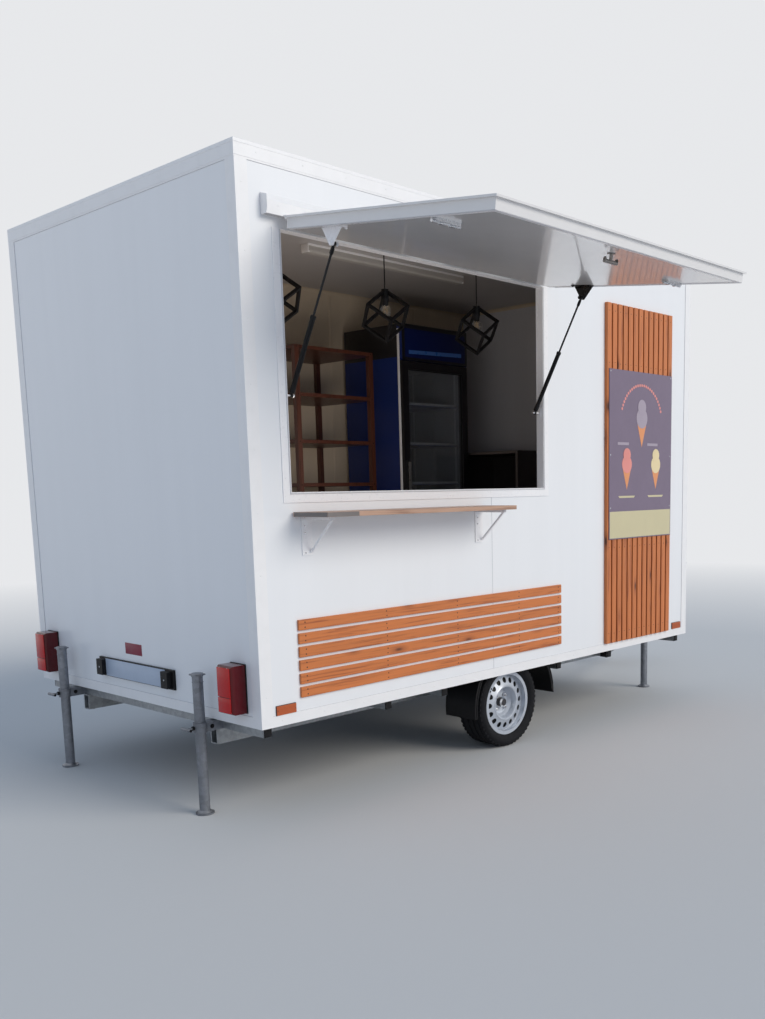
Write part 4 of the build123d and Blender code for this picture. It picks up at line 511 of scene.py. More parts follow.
ROD_METAL = metal_finish("dark_rod", linear(18, 18, 22), 0.3, shine=0.3)
BLACK_PLASTIC = plastic_finish("black_plastic", linear(16, 16, 19), 0.5, shine=0.25)
RUBBER = plastic_finish("seal_rubber", linear(15, 15, 17), 0.7, shine=0.2)
TYRE = plastic_finish("tyre_rubber", linear(19, 20, 24), 0.75, 260.0, 0.25, shine=0.2)
TIMBER_X = timber_finish("stained_boards", "x", linear(199, 115, 58), linear(150, 78, 38))
TIMBER_Z = timber_finish("stained_slats", "z", linear(196, 114, 60), linear(146, 76, 36))
# Dark strips between the slats: painted shade in the gaps, over the white wall behind them.
PAINTED_GAP_SHADE = timber_finish("slat_gap_painted_shade", "z", linear(96, 50, 32), linear(60, 30, 20), 0.7, False)
SHELF_WOOD = timber_finish(
    "shelf_wood", "x", linear(182, 146, 124), linear(140, 106, 86), 0.42, False, white_below=EDGE + 0.9049,
)
# Grey for the shelf's end bands and for a stretch of its nosing at the rear end.
SHELF_END = plastic_finish("shelf_end", linear(112, 106, 104), 0.5)
RACK_WOOD = timber_finish("rack_wood", "z", linear(80, 42, 30), linear(50, 26, 20), 0.38, False)
DARK_BOARD = plastic_finish("dark_laminate", linear(46, 42, 44), 0.45)
COUNTER = plastic_finish("counter_laminate", linear(92, 84, 82), 0.35)
FLOORING = floor_finish("floor_covering", linear(74, 72, 72), 0.55)
COOLER_BLUE = plastic_finish("cooler_blue", linear(14, 40, 106), 0.34, 300.0, 0.02, 1.06)
COOLER_DEEP = plastic_finish("cooler_header_blue", linear(12, 26, 80), 0.4, 600.0, 0.004, 1.03, 0.25)
COOLER_STRIPE = plastic_finish("cooler_stripe", linear(60, 104, 176), 0.3, 300.0, 0.02, 1.06)
COOLER_BLACK = plastic_finish("cooler_black", linear(20, 20, 25), 0.35)
COOLER_LINER = plastic_finish("cooler_liner", linear(96, 100, 110), 0.4, 200.0, 0.05, 1.06)
COOLER_TRIM = plastic_finish("cooler_trim", linear(240, 240, 244), 0.35, 200.0, 0.05, 1.02)
COOLER_WIRE = metal_finish("cooler_wire", linear(128, 132, 140), 0.4)
PANE = glass_finish("cooler_pane", (0.62, 0.7, 0.76))
BULB = glass_finish("bulb_glass", (0.95, 0.92, 0.85), 0.02, 0.35)
RIM = metal_finish("rim_silver", linear(190, 196, 206), 0.34, 0.35, 0.94)
IRON = metal_finish("hub_iron", linear(58, 58, 62), 0.55, 0.4)
MAROON_LENS = lens_finish("maroon_lens", linear(90, 4, 14))
RED_LENS = lens_finish("red_lens", linear(206, 6, 12))
AMBER_LENS = lens_finish("amber_lens", linear(196, 100, 58), 0.3)
CLEAR_LENS = lens_finish("clear_lens", linear(206, 210, 214))
PLATE = plastic_finish("blank_plate", linear(178, 190, 208), 0.35, 260.0, 0.04, 1.06)
LABEL = plastic_finish("maroon_label", linear(128, 26, 54), 0.4, 260.0, 0.04, 1.1)
POSTER = plastic_finish("poster_dark", linear(116, 102, 122), 0.36, 260.0, 0.03, 1.08)
POSTER_BAND = plastic_finish("poster_cream", linear(202, 192, 156), 0.4, 260.0, 0.03, 1.05)
PRINT_ROSE = plastic_finish("print_rose", linear(222, 140, 132), 0.38, 260.0, 0.05, 1.1)
PRINT_ORANGE = plastic_finish("print_orange", linear(222, 146, 96), 0.38, 260.0, 0.05, 1.1)
PRINT_CREAM = plastic_finish("print_cream", linear(228, 208, 164), 0.38, 260.0, 0.05, 1.06)
PRINT_GREY = plastic_finish("print_grey", linear(164, 152, 166), 0.38, 260.0, 0.05, 1.06)
DIFFUSER = plastic_finish("lamp_diffuser", linear(178, 174, 170), 0.35, 200.0, 0.05, 1.04)
HANDLE = metal_finish("dull_handle", linear(126, 120, 116), 0.4, 0.2)
BRASS = metal_finish("filament_wire", linear(210, 176, 120), 0.3, 0.9)
FITTINGS = fittings_finish(
    "hatch_fittings", linear(232, 230, 232), linear(14, 14, 17), linear(206, 208, 212), linear(136, 130, 126),
    chrome_past=NEAR - 0.5, black_past=REAR + 1.1, handle_past=NEAR - 0.93,
)

nodes_of_finish = (
    (ZINC, "axle_beam chassis_rails coupling_head cross_members drawbar_nose"), (DIFFUSER, "batten_light"),
    (ZINC, "jockey_clamp jockey_fork jockey_stem jockey_tube"),
    (TIMBER_X, "cladding_boards"), (TIMBER_Z, "cladding_slats"),
    (PROFILE, "corner_profiles hatch_hinge_rail roof_profile sill_profile"), (FLOORING, "floor_panel"),
    (FRAME, "door_frame opening_frame shelf_stays shelf_wall_plates"), (FITTINGS, "hatch_fittings"),
    (SKIN, "door_leaf far_wall front_wall rear_wall roof_panel serving_wall"), (LID_SKIN, "hatch_panel"),
    (COOLER_BLUE, "fridge_cabinet"), (COOLER_BLACK, "fridge_door"), (PANE, "fridge_glass"),
    (IRON, "hub_far hub_near"), (RIM, "rim_far rim_near"), (TYRE, "tyre_far tyre_near"),
    (BLACK_PLASTIC, "jockey_wheel mudguards plate_holder"), (BULB, "pendant_bulbs"), (POSTER, "poster_board"),
    (BLACK_METAL, "pendant_cages strut_cylinder_front strut_cylinder_rear"),
    (ROD_METAL, "strut_rod_front strut_rod_rear"), (MAROON_LENS, "rear_lamps"), (AMBER_LENS, "side_markers"),
    (COUNTER, "serving_counter"), (SHELF_WOOD, "serving_shelf"), (RACK_WOOD, "shelf_rack"),
    (DARK_BOARD, "side_cabinet"),
    (DULL_ZINC, "stand_clamps stand_front_far stand_front_near stand_rear_far stand_rear_near"),
)
for finish, nodes in nodes_of_finish:
    for node in nodes.split():
        for material_slot in frame["nodes"][node].material_slots:
            material_slot.material = finish


# Body
def make_shell():
    """Seams between the sheets, roof strips, sealant beside the profiles, and their rivets and ridges."""
    upright = (SILL_TOP, ROOF_RAIL)
    seam_places, seam_half, seam_proud = (1527.0, 2330.0), 1.2, 0.6
    seams = Shape()
    near = (NEAR_FACE - seam_proud, NEAR_FACE + 1)
    seams.block(about(seam_places[0], seam_half), near, (SILL_TOP, frame_z[0]))
    for x in seam_places:
        seams.block(about(x, seam_half), (FAR_FACE - 1, FAR_FACE + seam_proud), upright)
    seams.block((FRONT_FACE - 1, FRONT_FACE + seam_proud), about(MIDDLE_Y, seam_half), upright)
    seams.piece("panel_seams", SEAM, smooth=False)

    strip_top = HEIGHT - 1.2
    strips = Shape()
    for x in (1180.0, 2370.0):
        strips.block(about(x, 22), inset(BODY_Y, 75), (HEIGHT - 3.4, strip_top))
        strips.rivets(about(x, 12), spaced(BODY_Y, 110, 9), strip_top, UP, 3, 0.9)
    strips.piece("roof_strips", PROFILE, bevel=0.5)

    along, across, bead = inset(BODY_X, CORNER), inset(BODY_Y, CORNER), 1.8
    beads = Shape()
    beads.rods(along, [NEAR_FACE, FAR_FACE], list(upright), bead)
    beads.rods(list(along), [NEAR_FACE, FAR_FACE], upright, bead)
    beads.rods([REAR_FACE, FRONT_FACE], across, list(upright), bead)
    beads.rods([REAR_FACE, FRONT_FACE], list(across), upright, bead)
    beads.rods(along, list(across), HEIGHT - 3, bead)
    beads.piece("edge_sealant", SEALANT)

    rows = (SILL_TOP / 2, mid((ROOF_RAIL, HEIGHT)))
    levels = spaced(upright, 90, 9)
    rivets = Shape()
    for y, out in zip(BODY_Y, (NEARWARD, FARWARD)):
        rivets.rivets(spaced(BODY_X, 110, 15), y, rows, out)
        rivets.rivets(inset(BODY_X, CORNER / 2), y, levels, out)
    for x, out in zip(BODY_X, (REARWARD, FORWARD)):
        rivets.rivets(x, spaced(BODY_Y, 110, 9), rows, out)
        rivets.rivets(x, inset(BODY_Y, CORNER / 2), levels, out)
    rivets.piece("profile_rivets", PROFILE, smooth=False)

    ridge_levels, ridge = [ROOF_RAIL + 9, HEIGHT - 14], 1.5
    ridges = Shape()
    ridges.rods(inset(BODY_X, EDGE_INSET), list(BODY_Y), ridge_levels, ridge)
    ridges.rods(list(BODY_X), inset(BODY_Y, EDGE_INSET), ridge_levels, ridge)
    ridges.piece("roof_rail_ridges", PROFILE)


def make_lining():
    """Sheets on the inner faces, a cove under the ceiling and the joint strips."""
    door_x, _, door_z = edges("door_frame")
    thin, door_lap = 1.2, 34
    doorway, hole = inset(door_x, door_lap), inset(OPEN_X, -4)
    near, far = (NEAR_INSIDE, NEAR_INSIDE + thin), (FAR_INSIDE - thin, FAR_INSIDE)
    tall = (FLOOR, CEILING)
    cream = Shape()
    cream.block((REAR_INSIDE, doorway[0]), far, tall)
    cream.block((doorway[1], FRONT_INSIDE), far, tall)
    cream.block(doorway, far, (door_z[1] - door_lap, CEILING))
    cream.block((REAR_INSIDE, REAR_INSIDE + thin), INSIDE_Y, tall)
    cream.block((REAR_INSIDE, hole[0]), near, tall)
    cream.block((hole[1], FRONT_INSIDE), near, tall)
    cream.block(hole, near, (OPEN_Z[1] + 4, CEILING))
    cream.block(hole, near, (FLOOR, OPEN_Z[0] - 45))
    cream.piece("wall_lining", LINING, smooth=False)
    front = Shape().block((FRONT_INSIDE - thin, FRONT_INSIDE), INSIDE_Y, tall)
    front.piece("front_lining", FRONT_LINING, smooth=False)
    above = Shape().block(INSIDE_X, INSIDE_Y, (CEILING - thin, CEILING))
    above.piece("ceiling_sheet", CEILING_SHADED_SKIN, smooth=False)

    cove = Shape()
    reach = 26.0
    profile = ((0, 0), (0, 1), (0.3, 0.3), (1, 0))
    for y, way in ((FAR_INSIDE, -reach), (NEAR_INSIDE, reach)):
        outline = [at(REAR_INSIDE, y + way * out, CEILING - reach * down) for out, down in profile]
        cove.sheet(outline, (FRONT_INSIDE - REAR_INSIDE, 0, 0))
    for x, way in ((REAR_INSIDE, reach), (FRONT_INSIDE, -reach)):
        outline = [at(x + way * out, NEAR_INSIDE, CEILING - reach * down) for out, down in profile]
        cove.sheet(outline, (0, FAR_INSIDE - NEAR_INSIDE, 0))
    for x in (1285.0, 2150.0, 2960.0):
        cove.block(about(x, 12), (far[0] - 1.6, far[0]), (FLOOR, CEILING - reach))
    cove.piece("lining_strips", LINING, bevel=0.4)

    threshold = Shape().block(inset(door_x, 40), (FAR_INSIDE - 60, FAR_FACE), (FLOOR, FLOOR + 2))
    threshold.rivets(spaced(door_x, 80, 5), FAR_INSIDE - 30, FLOOR + 2, UP, 4, 1)
    threshold.piece("door_threshold", ALUMINIUM, bevel=0.4)


def make_opening():
    """Gasket and screws on the frame of the serving opening."""
    face = frame_y[0]
    gasket = Shape()
    gasket.ring_of_blocks(inset(OPEN_X, -9), (face - 2.4, face), (OPEN_Z[0] - 9, OPEN_Z[1]), 6, open_top=True)
    gasket.piece("opening_gasket", SEALANT, bevel=0.8)
    screws = Shape()
    screws.rivets(spaced(OPEN_X, 40, 8), face, OPEN_Z[0] - 30, NEARWARD, *FRAME_SCREW)
    screws.rivets(inset(OPEN_X, -30), face, spaced(OPEN_Z, 60, 5), NEARWARD, *FRAME_SCREW)
    screws.piece("opening_screws", FRAME, smooth=False)


# Hatch
LID_INNER = 42.0
LID_FIRST, LID_LAST = 11.0, 1144.0
TRIM_HIGH = 1.2
LATCH_FROM_JAMB, LATCH_BASE, GRIP_DOWN = 88, 12, 1012
BRACKET_DOWN, BRACKET_PIN = (205, 305), (104, 255)
LID_SCREW, FRAME_SCREW = (3.2, 1.0), (3.6, 1.1)


def make_hatch():
    """Trims and seal on the hatch's inner face, and the small parts of its latches, pull and brackets."""
    core = inset(OPEN_X, -8)
    for name, material, high, first, margins, bevel in (
        ("hatch_trims", FRAME, TRIM_HIGH, LID_FIRST, (9, 27), 0.4),
        ("hatch_seal", SEALANT, 2.2, LID_FIRST + 30, (0.6, 7), 1.0),
    ):
        face = (LID_INNER, LID_INNER + high)
        outer, inner = [inset(core, margin) for margin in margins]
        strip = Shape()
        strip.lid_block((outer[0], inner[0]), face, (first, LID_LAST))
        strip.lid_block((inner[1], outer[1]), face, (first, LID_LAST))
        strip.lid_block(inner, face, (LID_LAST - margins[1], LID_LAST - margins[0]))
        strip.piece(name, material, "hatch", bevel=bevel)

    trim_top = LID_INNER + TRIM_HIGH
    screws = Shape()
    screws.rivets(inset(core, 18), trim_top, steps(120, LID_LAST - 60, 7), LID_INWARD, *LID_SCREW, place=lid)
    screws.rivets(spaced(core, 120, 9), trim_top, LID_LAST - 18, LID_INWARD, *LID_SCREW, place=lid)
    screws.piece("hatch_screws", FRAME, "hatch", smooth=False)

    details = Shape()
    base_top = LID_INNER + LATCH_BASE
    for middle in inset(OPEN_X, LATCH_FROM_JAMB):
        details.rivets(about(middle, 48), base_top, (812, 834), LID_INWARD, 4.2, 1.6, place=lid)
        for x in about(middle, 29):
            details.lid_block(about(x, 5), (base_top, base_top + 7), (813, 833))
    details.piece("latch_details", CHROME, "hatch", bevel=0.5)

    grip_x = mid(OPEN_X)
    handle = Shape()
    handle.stack(lid(grip_x, LID_INNER, GRIP_DOWN), LID_INWARD, (0, 3, 18, 28, 16))
    handle.rivets(about(grip_x, 11), LID_INNER + 3, GRIP_DOWN, LID_INWARD, 3.0, 1.4, place=lid)
    for way in (FORWARD, REARWARD):
        handle.stack(lid(grip_x, LID_INNER + 26, GRIP_DOWN), way, (42, 45, 9.4, 18, 7))
    handle.piece("hatch_handle_caps", HANDLE, "hatch", bevel=0.5)

    for name, middle, material in zip(ENDS, inset(OPEN_X, 40), (FRAME, BLACK_PLASTIC)):
        boss = Shape()
        boss.bolts(about(middle, 16), LID_INNER + 4, BRACKET_DOWN, LID_INWARD, 9, 4.5, place=lid)
        for x, way in zip(about(middle, 16), (REARWARD, FORWARD)):
            boss.bolts(x, *BRACKET_PIN, way, 11, 6, place=lid)
        boss.piece(f"bracket_bolts_{name}", material, "hatch", smooth=False)

    rail_x, (rail_y, _), rail_z = edges("hatch_hinge_rail")
    profile = ((1, rail_z[1] - 1), (rail_y + 12, rail_z[1] - 14), (rail_y + 12, rail_z[0] + 30),
               (rail_y + 22, rail_z[0] + 12), (1, rail_z[0] + 12))
    caps = Shape()
    for x in (rail_x[0] - 2, rail_x[1]):
        caps.sheet([at(x, y, z) for y, z in profile], (2, 0, 0))
    caps.rivets(spaced(rail_x, 60, 14), rail_y + 17.5, rail_z[0] + 50, NEARWARD, 3.2, 1.0)
    caps.piece("hinge_rail_caps", PROFILE, bevel=0.4)


STRUT_AXIS = Vector((0, -0.48620779, 0.87384322))
SLEEVE_LOW = [(10.4, 12), (12.2, 16), (12.4, 17), (12.4, 40), (11.4, 48), (10.4, 48)]
SLEEVE_TOP = [(10.4, 338), (11.4, 338), (12.4, 346), (12.4, 350), (10.4, 353)]
ROD_END = [(606, 612, 5.4, 16, 7.8), (612, 632, 8.2, 6), (632, 641, 7.6, 16, 6.2)]


def make_struts():
    """Two collars on each cylinder, the end of its rod and the nut at its foot."""
    for end, inward in zip(ENDS, (FORWARD, REARWARD)):
        foot = joint_at[f"strut_{end}_tilt"]
        tube = Shape().lathe(SLEEVE_LOW, foot, STRUT_AXIS, 28).lathe(SLEEVE_TOP, foot, STRUT_AXIS, 28)
        tube.piece(f"strut_sleeve_{end}", BLACK_PLASTIC, f"strut_cylinder_{end}")
        rod_end = Shape().stack(foot, STRUT_AXIS, *ROD_END)
        rod_end.piece(f"strut_end_{end}", BLACK_METAL, f"strut_rod_{end}", smooth=False)
        nut = Shape().stack(foot, inward, (7, 9, 8.5, 20), (9, 15, 7.4, 6), (15, 18, 5.4, 16, 3.0))
        nut.piece(f"strut_foot_nut_{end}", CHROME, smooth=False)


# Serving shelf
def make_shelf():
    """Edge bands, the front nosing with a grey stretch at its rear end, and the screws."""
    x, y, z = edges("serving_shelf")
    thick, lip = (z[1] - 19.4, z[1] - 0.6), (y[0] - 1.2, y[0])
    grey_to = x[0] + 176
    ends = Shape()
    for span in ((x[0] - 1.4, x[0]), (x[1], x[1] + 1.4)):
        ends.block(span, (y[0] + 1, y[0] + 222), thick)
    ends.piece("shelf_end_bands", SHELF_END, "shelf", bevel=0.4)
    for name, span, material in (
        ("shelf_nosing", (grey_to, x[1]), SHELF_WOOD), ("shelf_nosing_grey", (x[0], grey_to), SHELF_END),
    ):
        Shape().block(span, lip, thick).piece(name, material, "shelf", bevel=0.5, smooth=False)
    plate_low = edges("shelf_wall_plates")[2][0]
    screws, bolts = Shape(), Shape()
    for along in (62.0, 1196.0):
        stay = x[0] + along
        screws.rivets(about(stay, 7), (y[0] + 60, y[0] + 110, y[0] + 160), z[1] - 34, DOWN, 3, 1.2)
        levels = (plate_low + 10, plate_low + 96, plate_low + 128)
        bolts.rivets(stay, NEAR_FACE - 5, levels, NEARWARD, 4.6, 2.2, 12)
    screws.piece("shelf_screws", CHROME, "shelf", smooth=False)
    bolts.piece("shelf_plate_screws", CHROME, smooth=False)


# Timber cladding
BOARDS, BOARD_PITCH, BOARD_TALL = 6, 60, 47
SLATS, SLAT_PITCH, SLAT_WIDE = 13, 57, 44
STUDS_X = (250.0, 740.0, 1236.0, 1733.0, 2090.0)
SLAT_SCREWS_Z = (110.0, 640.0, 1180.0, 1740.0, 2040.0)


def make_cladding():
    """Boards and slats with rounded edges, dark strips in the gaps between the slats as painted shade, and
    the screws.
    """
    x, y, z = edges("cladding_boards")
    lows = [z[0] + index * BOARD_PITCH for index in range(BOARDS)]
    boards = Shape()
    for low in lows:
        boards.block(x, y, (low, low + BOARD_TALL))
    made = boards.piece("board_row", TIMBER_X, bevel=2.2, smooth=False, slot="timber")
    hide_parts("cladding_boards")

    slat_x, slat_y, slat_z = edges("cladding_slats")
    starts = [slat_x[0] + index * SLAT_PITCH for index in range(SLATS)]
    slats, shade_sheet = Shape(), Shape()
    for start in starts:
        slats.block((start, start + SLAT_WIDE), slat_y, slat_z)
    made = slats.piece("slat_row", TIMBER_Z, bevel=1.8, smooth=False, slot="timber")
    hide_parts("cladding_slats")
    # Painted shade: a dark strip fills each gap between two slats.
    for start in starts[1:]:
        gap = (start - SLAT_PITCH + SLAT_WIDE, start)
        shade_sheet.block(gap, (NEAR_FACE - 2.5, NEAR_FACE), inset(slat_z, 1))
    shade_sheet.piece("slat_gap_painted_shade", PAINTED_GAP_SHADE, smooth=False)

    screws = Shape()
    for stud in STUDS_X:
        for low in lows:
            for level in about(low + BOARD_TALL / 2, 11):
                screws.rivets(stud + random.uniform(-2, 2), y[0], level, NEARWARD, 3.4, 0.5, 10)
    for level in SLAT_SCREWS_Z:
        if not POSTER_UP[0] < level < POSTER_UP[1]:
            for start in starts:
                place = (start + SLAT_WIDE / 2, slat_y[0], level + random.uniform(-3, 3))
                screws.rivets(*place, NEARWARD, 3.0, 0.5, 10)
    screws.piece("cladding_screws", ROD_METAL, smooth=False)


def make_poster():
    """Plain printed board: a dark ground with a pale band below, three cones and an arc of dots."""
    x, (face, _), z = edges("poster_board")
    left, low, wide = x[0], z[0], x[1] - x[0]
    ink = (0, -0.5, 0)

    def flat(shape, *points):
        """A thin print with its corners measured from the board's lower rear corner."""
        shape.sheet([at(left + across, face, low + up) for across, up in points], ink)

    band, rose, orange, cream, grey = [Shape() for _ in range(5)]
    flat(band, (6, 6), (wide - 6, 6), (wide - 6, 168), (6, 168))
    for middle in (190, 520):
        flat(band, (middle - 80, 250), (middle + 80, 250), (middle + 92, 262), (middle - 92, 262))
    for scoop, tip, up, size in ((rose, 190, 300, 1.0), (cream, 520, 300, 1.0), (grey, 355, 560, 1.15)):
        half, top = 46 * size, up + 130 * size
        flat(orange, (tip, up), (tip + half, top), (tip - half, top))
        for proud, above, radius in ((0.6, 24, 54), (1.2, 82, 40)):
            scoop.sheet(circle((left + tip, face - proud, low + top + above * size), radius * size), ink)
    for start in (90, 420):
        flat(grey, (start, 570), (start + 120, 570), (start + 120, 586), (start, 586))
    dot = [Vector((0.009 * cos(angle), 0, 0.009 * sin(angle))) for angle in steps(0, 2 * pi * 11 / 12, 12)]
    for middle in circle((left + 355, face, low + 700), 236, 24, start=pi * 0.12, turn=pi * 0.76):
        rose.sheet([middle + point for point in dot], ink)
    for shape, name, material in (
        (band, "poster_band", POSTER_BAND), (rose, "poster_rose", PRINT_ROSE),
        (grey, "poster_grey", PRINT_GREY), (orange, "poster_orange", PRINT_ORANGE),
        (cream, "poster_cream_scoops", PRINT_CREAM),
    ):
        shape.piece(name, material, smooth=False)
    clips = Shape().rivets(inset(x, 14), face, (z[0] + 190, mid(z), z[1] - 14), NEARWARD, 5, 1.6, 14)
    clips.piece("poster_screws", CHROME, smooth=False)


# Running gear
TYRE_TREAD = [
    (172, 60), (178, 67), (188, 77), (200, 84), (203, 85.6), (206, 86.4), (209, 86.4), (212, 88), (220, 88),
    (230, 84), (238, 78), (243, 70), (244.4, 64), (244.6, 60), (238, 59), (238, 53), (245, 52), (245, 24),
    (238, 23), (238, 15), (245, 14),
]
TYRE_INSIDE = [(166, -56), (210, -78), (232, -66), (232, 66), (210, 78), (166, 56)]
LUGS, LUG_RADIUS, LUG_SIDE, LUG_LEAN = 52, 239.0, 73.5, 2.0
LUG_LONG, LUG_WIDE, LUG_HIGH = 16.0, 13.0, 8.5
RIM_LIP = [(171, 70), (178.6, 70.6), (180.4, 68), (179.6, 64), (176, 62), (171, 64)]
DISC_RING = [(82, 30), (87, 56), (91, 60.5), (97, 61.5), (102, 58), (101, 55), (96, 58), (92, 56), (86, 30)]
HUB_CAP = [(20, 45.2), (26.4, 38), (26.6, 36.5), (25.8, 36.5), (19.5, 44)]
HUB_RING = [(28.6, 11), (32, 11.2), (31, 14), (26.5, 14.4)]
# The dark cone behind the vent holes is painted shade that makes the holes read dark; it is not a measured
# brake drum.
VENT_SHADE_PROFILE = [(106, 50), (150, 34), (150, 32), (106, 48)]
NUTS, NUT_CIRCLE = 4, 50
NUT = [(10.5, 13.5, 12.5, 20, 11), (13.5, 26.5, 10.2, 6, 9.8), (26.5, 31, 6.5, 14, 5.4)]
VALVE_CIRCLE, VALVE_ANGLE = 132, 1.1
VALVE = [(6, 13, 7, 16, 5), (13, 34, 4, 12, 3.6), (34, 43, 4.6, 12)]
WEIGHT_CIRCLE, WEIGHT_ANGLES = 170, (2.5, 2.6)
VENTS, VENT_RADIUS, VENT_TALL, VENT_WIDE = 16, 129, 16, 15
CONE_INNER, CONE_OUTER, CONE_SLOPE = 102.0, 154.0, 0.34


def on_wheel(centre, radius, angle):
    """A point in the plane of a wheel, its radius in millimetres."""
    return centre + Vector((radius * cos(angle), 0, radius * sin(angle))) / 1000


def vent_ring(shape, centre, axis, sides=16):
    """The sloping outer part of a wheel disc, with a ring of oval holes."""
    turn = axis.to_track_quat("Z", "Y").to_matrix()

    def point(radius, angle, back):
        along = 58.0 - (radius - CONE_INNER) * CONE_SLOPE - back
        place = Vector((radius * cos(angle), radius * sin(angle), along)) / 1000
        return shape.mesh.verts.new(turn @ place + centre)

    for sector in range(VENTS):
        middle, half = 2 * pi * sector / VENTS, pi / VENTS
        layers = []
        for back in (0.0, 2.0):
            hole, border = [], []
            for index in range(sides):
                a, b = cos(2 * pi * index / sides), sin(2 * pi * index / sides)
                hole.append(point(VENT_RADIUS + VENT_TALL * a, middle + VENT_WIDE * b / VENT_RADIUS, back))
                reach = max(abs(a), abs(b))
                radius = mid((CONE_INNER, CONE_OUTER)) + (CONE_OUTER - CONE_INNER) / 2 * a / reach
                border.append(point(radius, middle + half * b / reach, back))
            layers.append(hole)
            for index in range(sides):
                after = (index + 1) % sides
                shape.mesh.faces.new((border[index], border[after], hole[after], hole[index]))
        front, rear = layers
        for index in range(sides):
            after = (index + 1) % sides
            shape.mesh.faces.new((front[index], front[after], rear[after], rear[index]))


def make_wheels():
    """Tyres with their tread blocks, and what lies over the plain rims: rings, holes, nuts and valve, and a
    dark cone behind the holes that paints their shade.
    """
    tread = TYRE_TREAD + [(radius, -along) for radius, along in reversed(TYRE_TREAD)] + TYRE_INSIDE
    for name, out in SIDES:
        centre = joint_at[f"wheel_{name}_spin"]
        axis = Vector((0, out, 0))
        body = f"wheel_{name}"
        tyre = Shape().lathe(tread, centre, axis, 96)
        for index in range(LUGS):
            turn = Matrix.Rotation(2 * pi * index / LUGS, 3, "Y")
            for way in (-1, 1):
                for vert in bmesh.ops.create_cube(tyre.mesh, size=1.0)["verts"]:
                    lean = LUG_LEAN if vert.co.z > 0 else 0
                    lug = Vector((vert.co.x * LUG_LONG, 0, vert.co.z * LUG_HIGH + LUG_RADIUS))
                    lug.y = way * (LUG_SIDE + vert.co.y * LUG_WIDE - lean)
                    vert.co = turn @ (lug / 1000) + centre
        made = tyre.piece(f"tyre_tread_{name}", TYRE, body, bevel=0.8, slot="tyre")
        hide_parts(f"tyre_{name}")

        rings = Shape().lathe(RIM_LIP, centre, axis, 96).lathe(DISC_RING, centre, axis, 72)
        rings.piece(f"rim_raised_rings_{name}", RIM, body)
        vents = Shape()
        vent_ring(vents, centre, axis)
        vents.piece(f"rim_vents_{name}", RIM, body)
        # Painted shade: a black cone behind the vent holes makes them read dark.
        shade_sheet = Shape().lathe(VENT_SHADE_PROFILE, centre, axis, 60)
        shade_sheet.piece(f"rim_vent_painted_shade_{name}", BLACK_METAL, body)

        nuts = Shape()
        for index in range(NUTS):
            nuts.stack(on_wheel(centre, NUT_CIRCLE, 2 * pi * index / NUTS + pi / 4), axis, *NUT)
        nuts.lathe(HUB_RING, centre, axis, 40).lathe(HUB_CAP, centre, axis, 40)
        nuts.piece(f"wheel_nuts_{name}", CHROME, body, smooth=False)

        valve = Shape().stack(on_wheel(centre, VALVE_CIRCLE, VALVE_ANGLE), axis, *VALVE)
        for angle in WEIGHT_ANGLES:
            valve.stack(on_wheel(centre, WEIGHT_CIRCLE, angle), axis, (64, 71, 6, 10, 5))
        valve.piece(f"tyre_valve_{name}", BLACK_METAL, body)


AXLE_X, GUARD_RADIUS, GUARD_RIVETS = 1763.0, 350.0, 339
GUARD_LIPS = ((331, 0.4, 6, 4.2, 10), (347, 0.2, 9, 2.8, 8))
GUARD_END = 186.5


def make_guards():
    """Rolled edge and rivets on each mudguard."""
    _, faces, z = edges("mudguards")
    axle_z = z[1] - GUARD_RADIUS
    for (name, out), face in zip(SIDES, faces):
        lip = Shape()
        for radius, proud, first, thick, sides in GUARD_LIPS:
            angles = steps(radians(first), radians(GUARD_END), 40)
            lip.chain([at(AXLE_X + radius * cos(angle), face + out * proud, axle_z + radius * sin(angle))
                       for angle in angles], thick, sides)
        for angle in steps(radians(25), radians(155), 7):
            place = (AXLE_X + GUARD_RIVETS * cos(angle), face, axle_z + GUARD_RIVETS * sin(angle))
            lip.rivets(*place, Vector((0, out, 0)), 4.4, 2, 12)
        lip.piece(f"guard_rolled_edge_{name}", BLACK_PLASTIC)


RAILS_Y = (415.0, 1615.0)
CROSS_X = (60.0, 780.0, 1180.0, 2160.0, 2684.0, 3490.0)


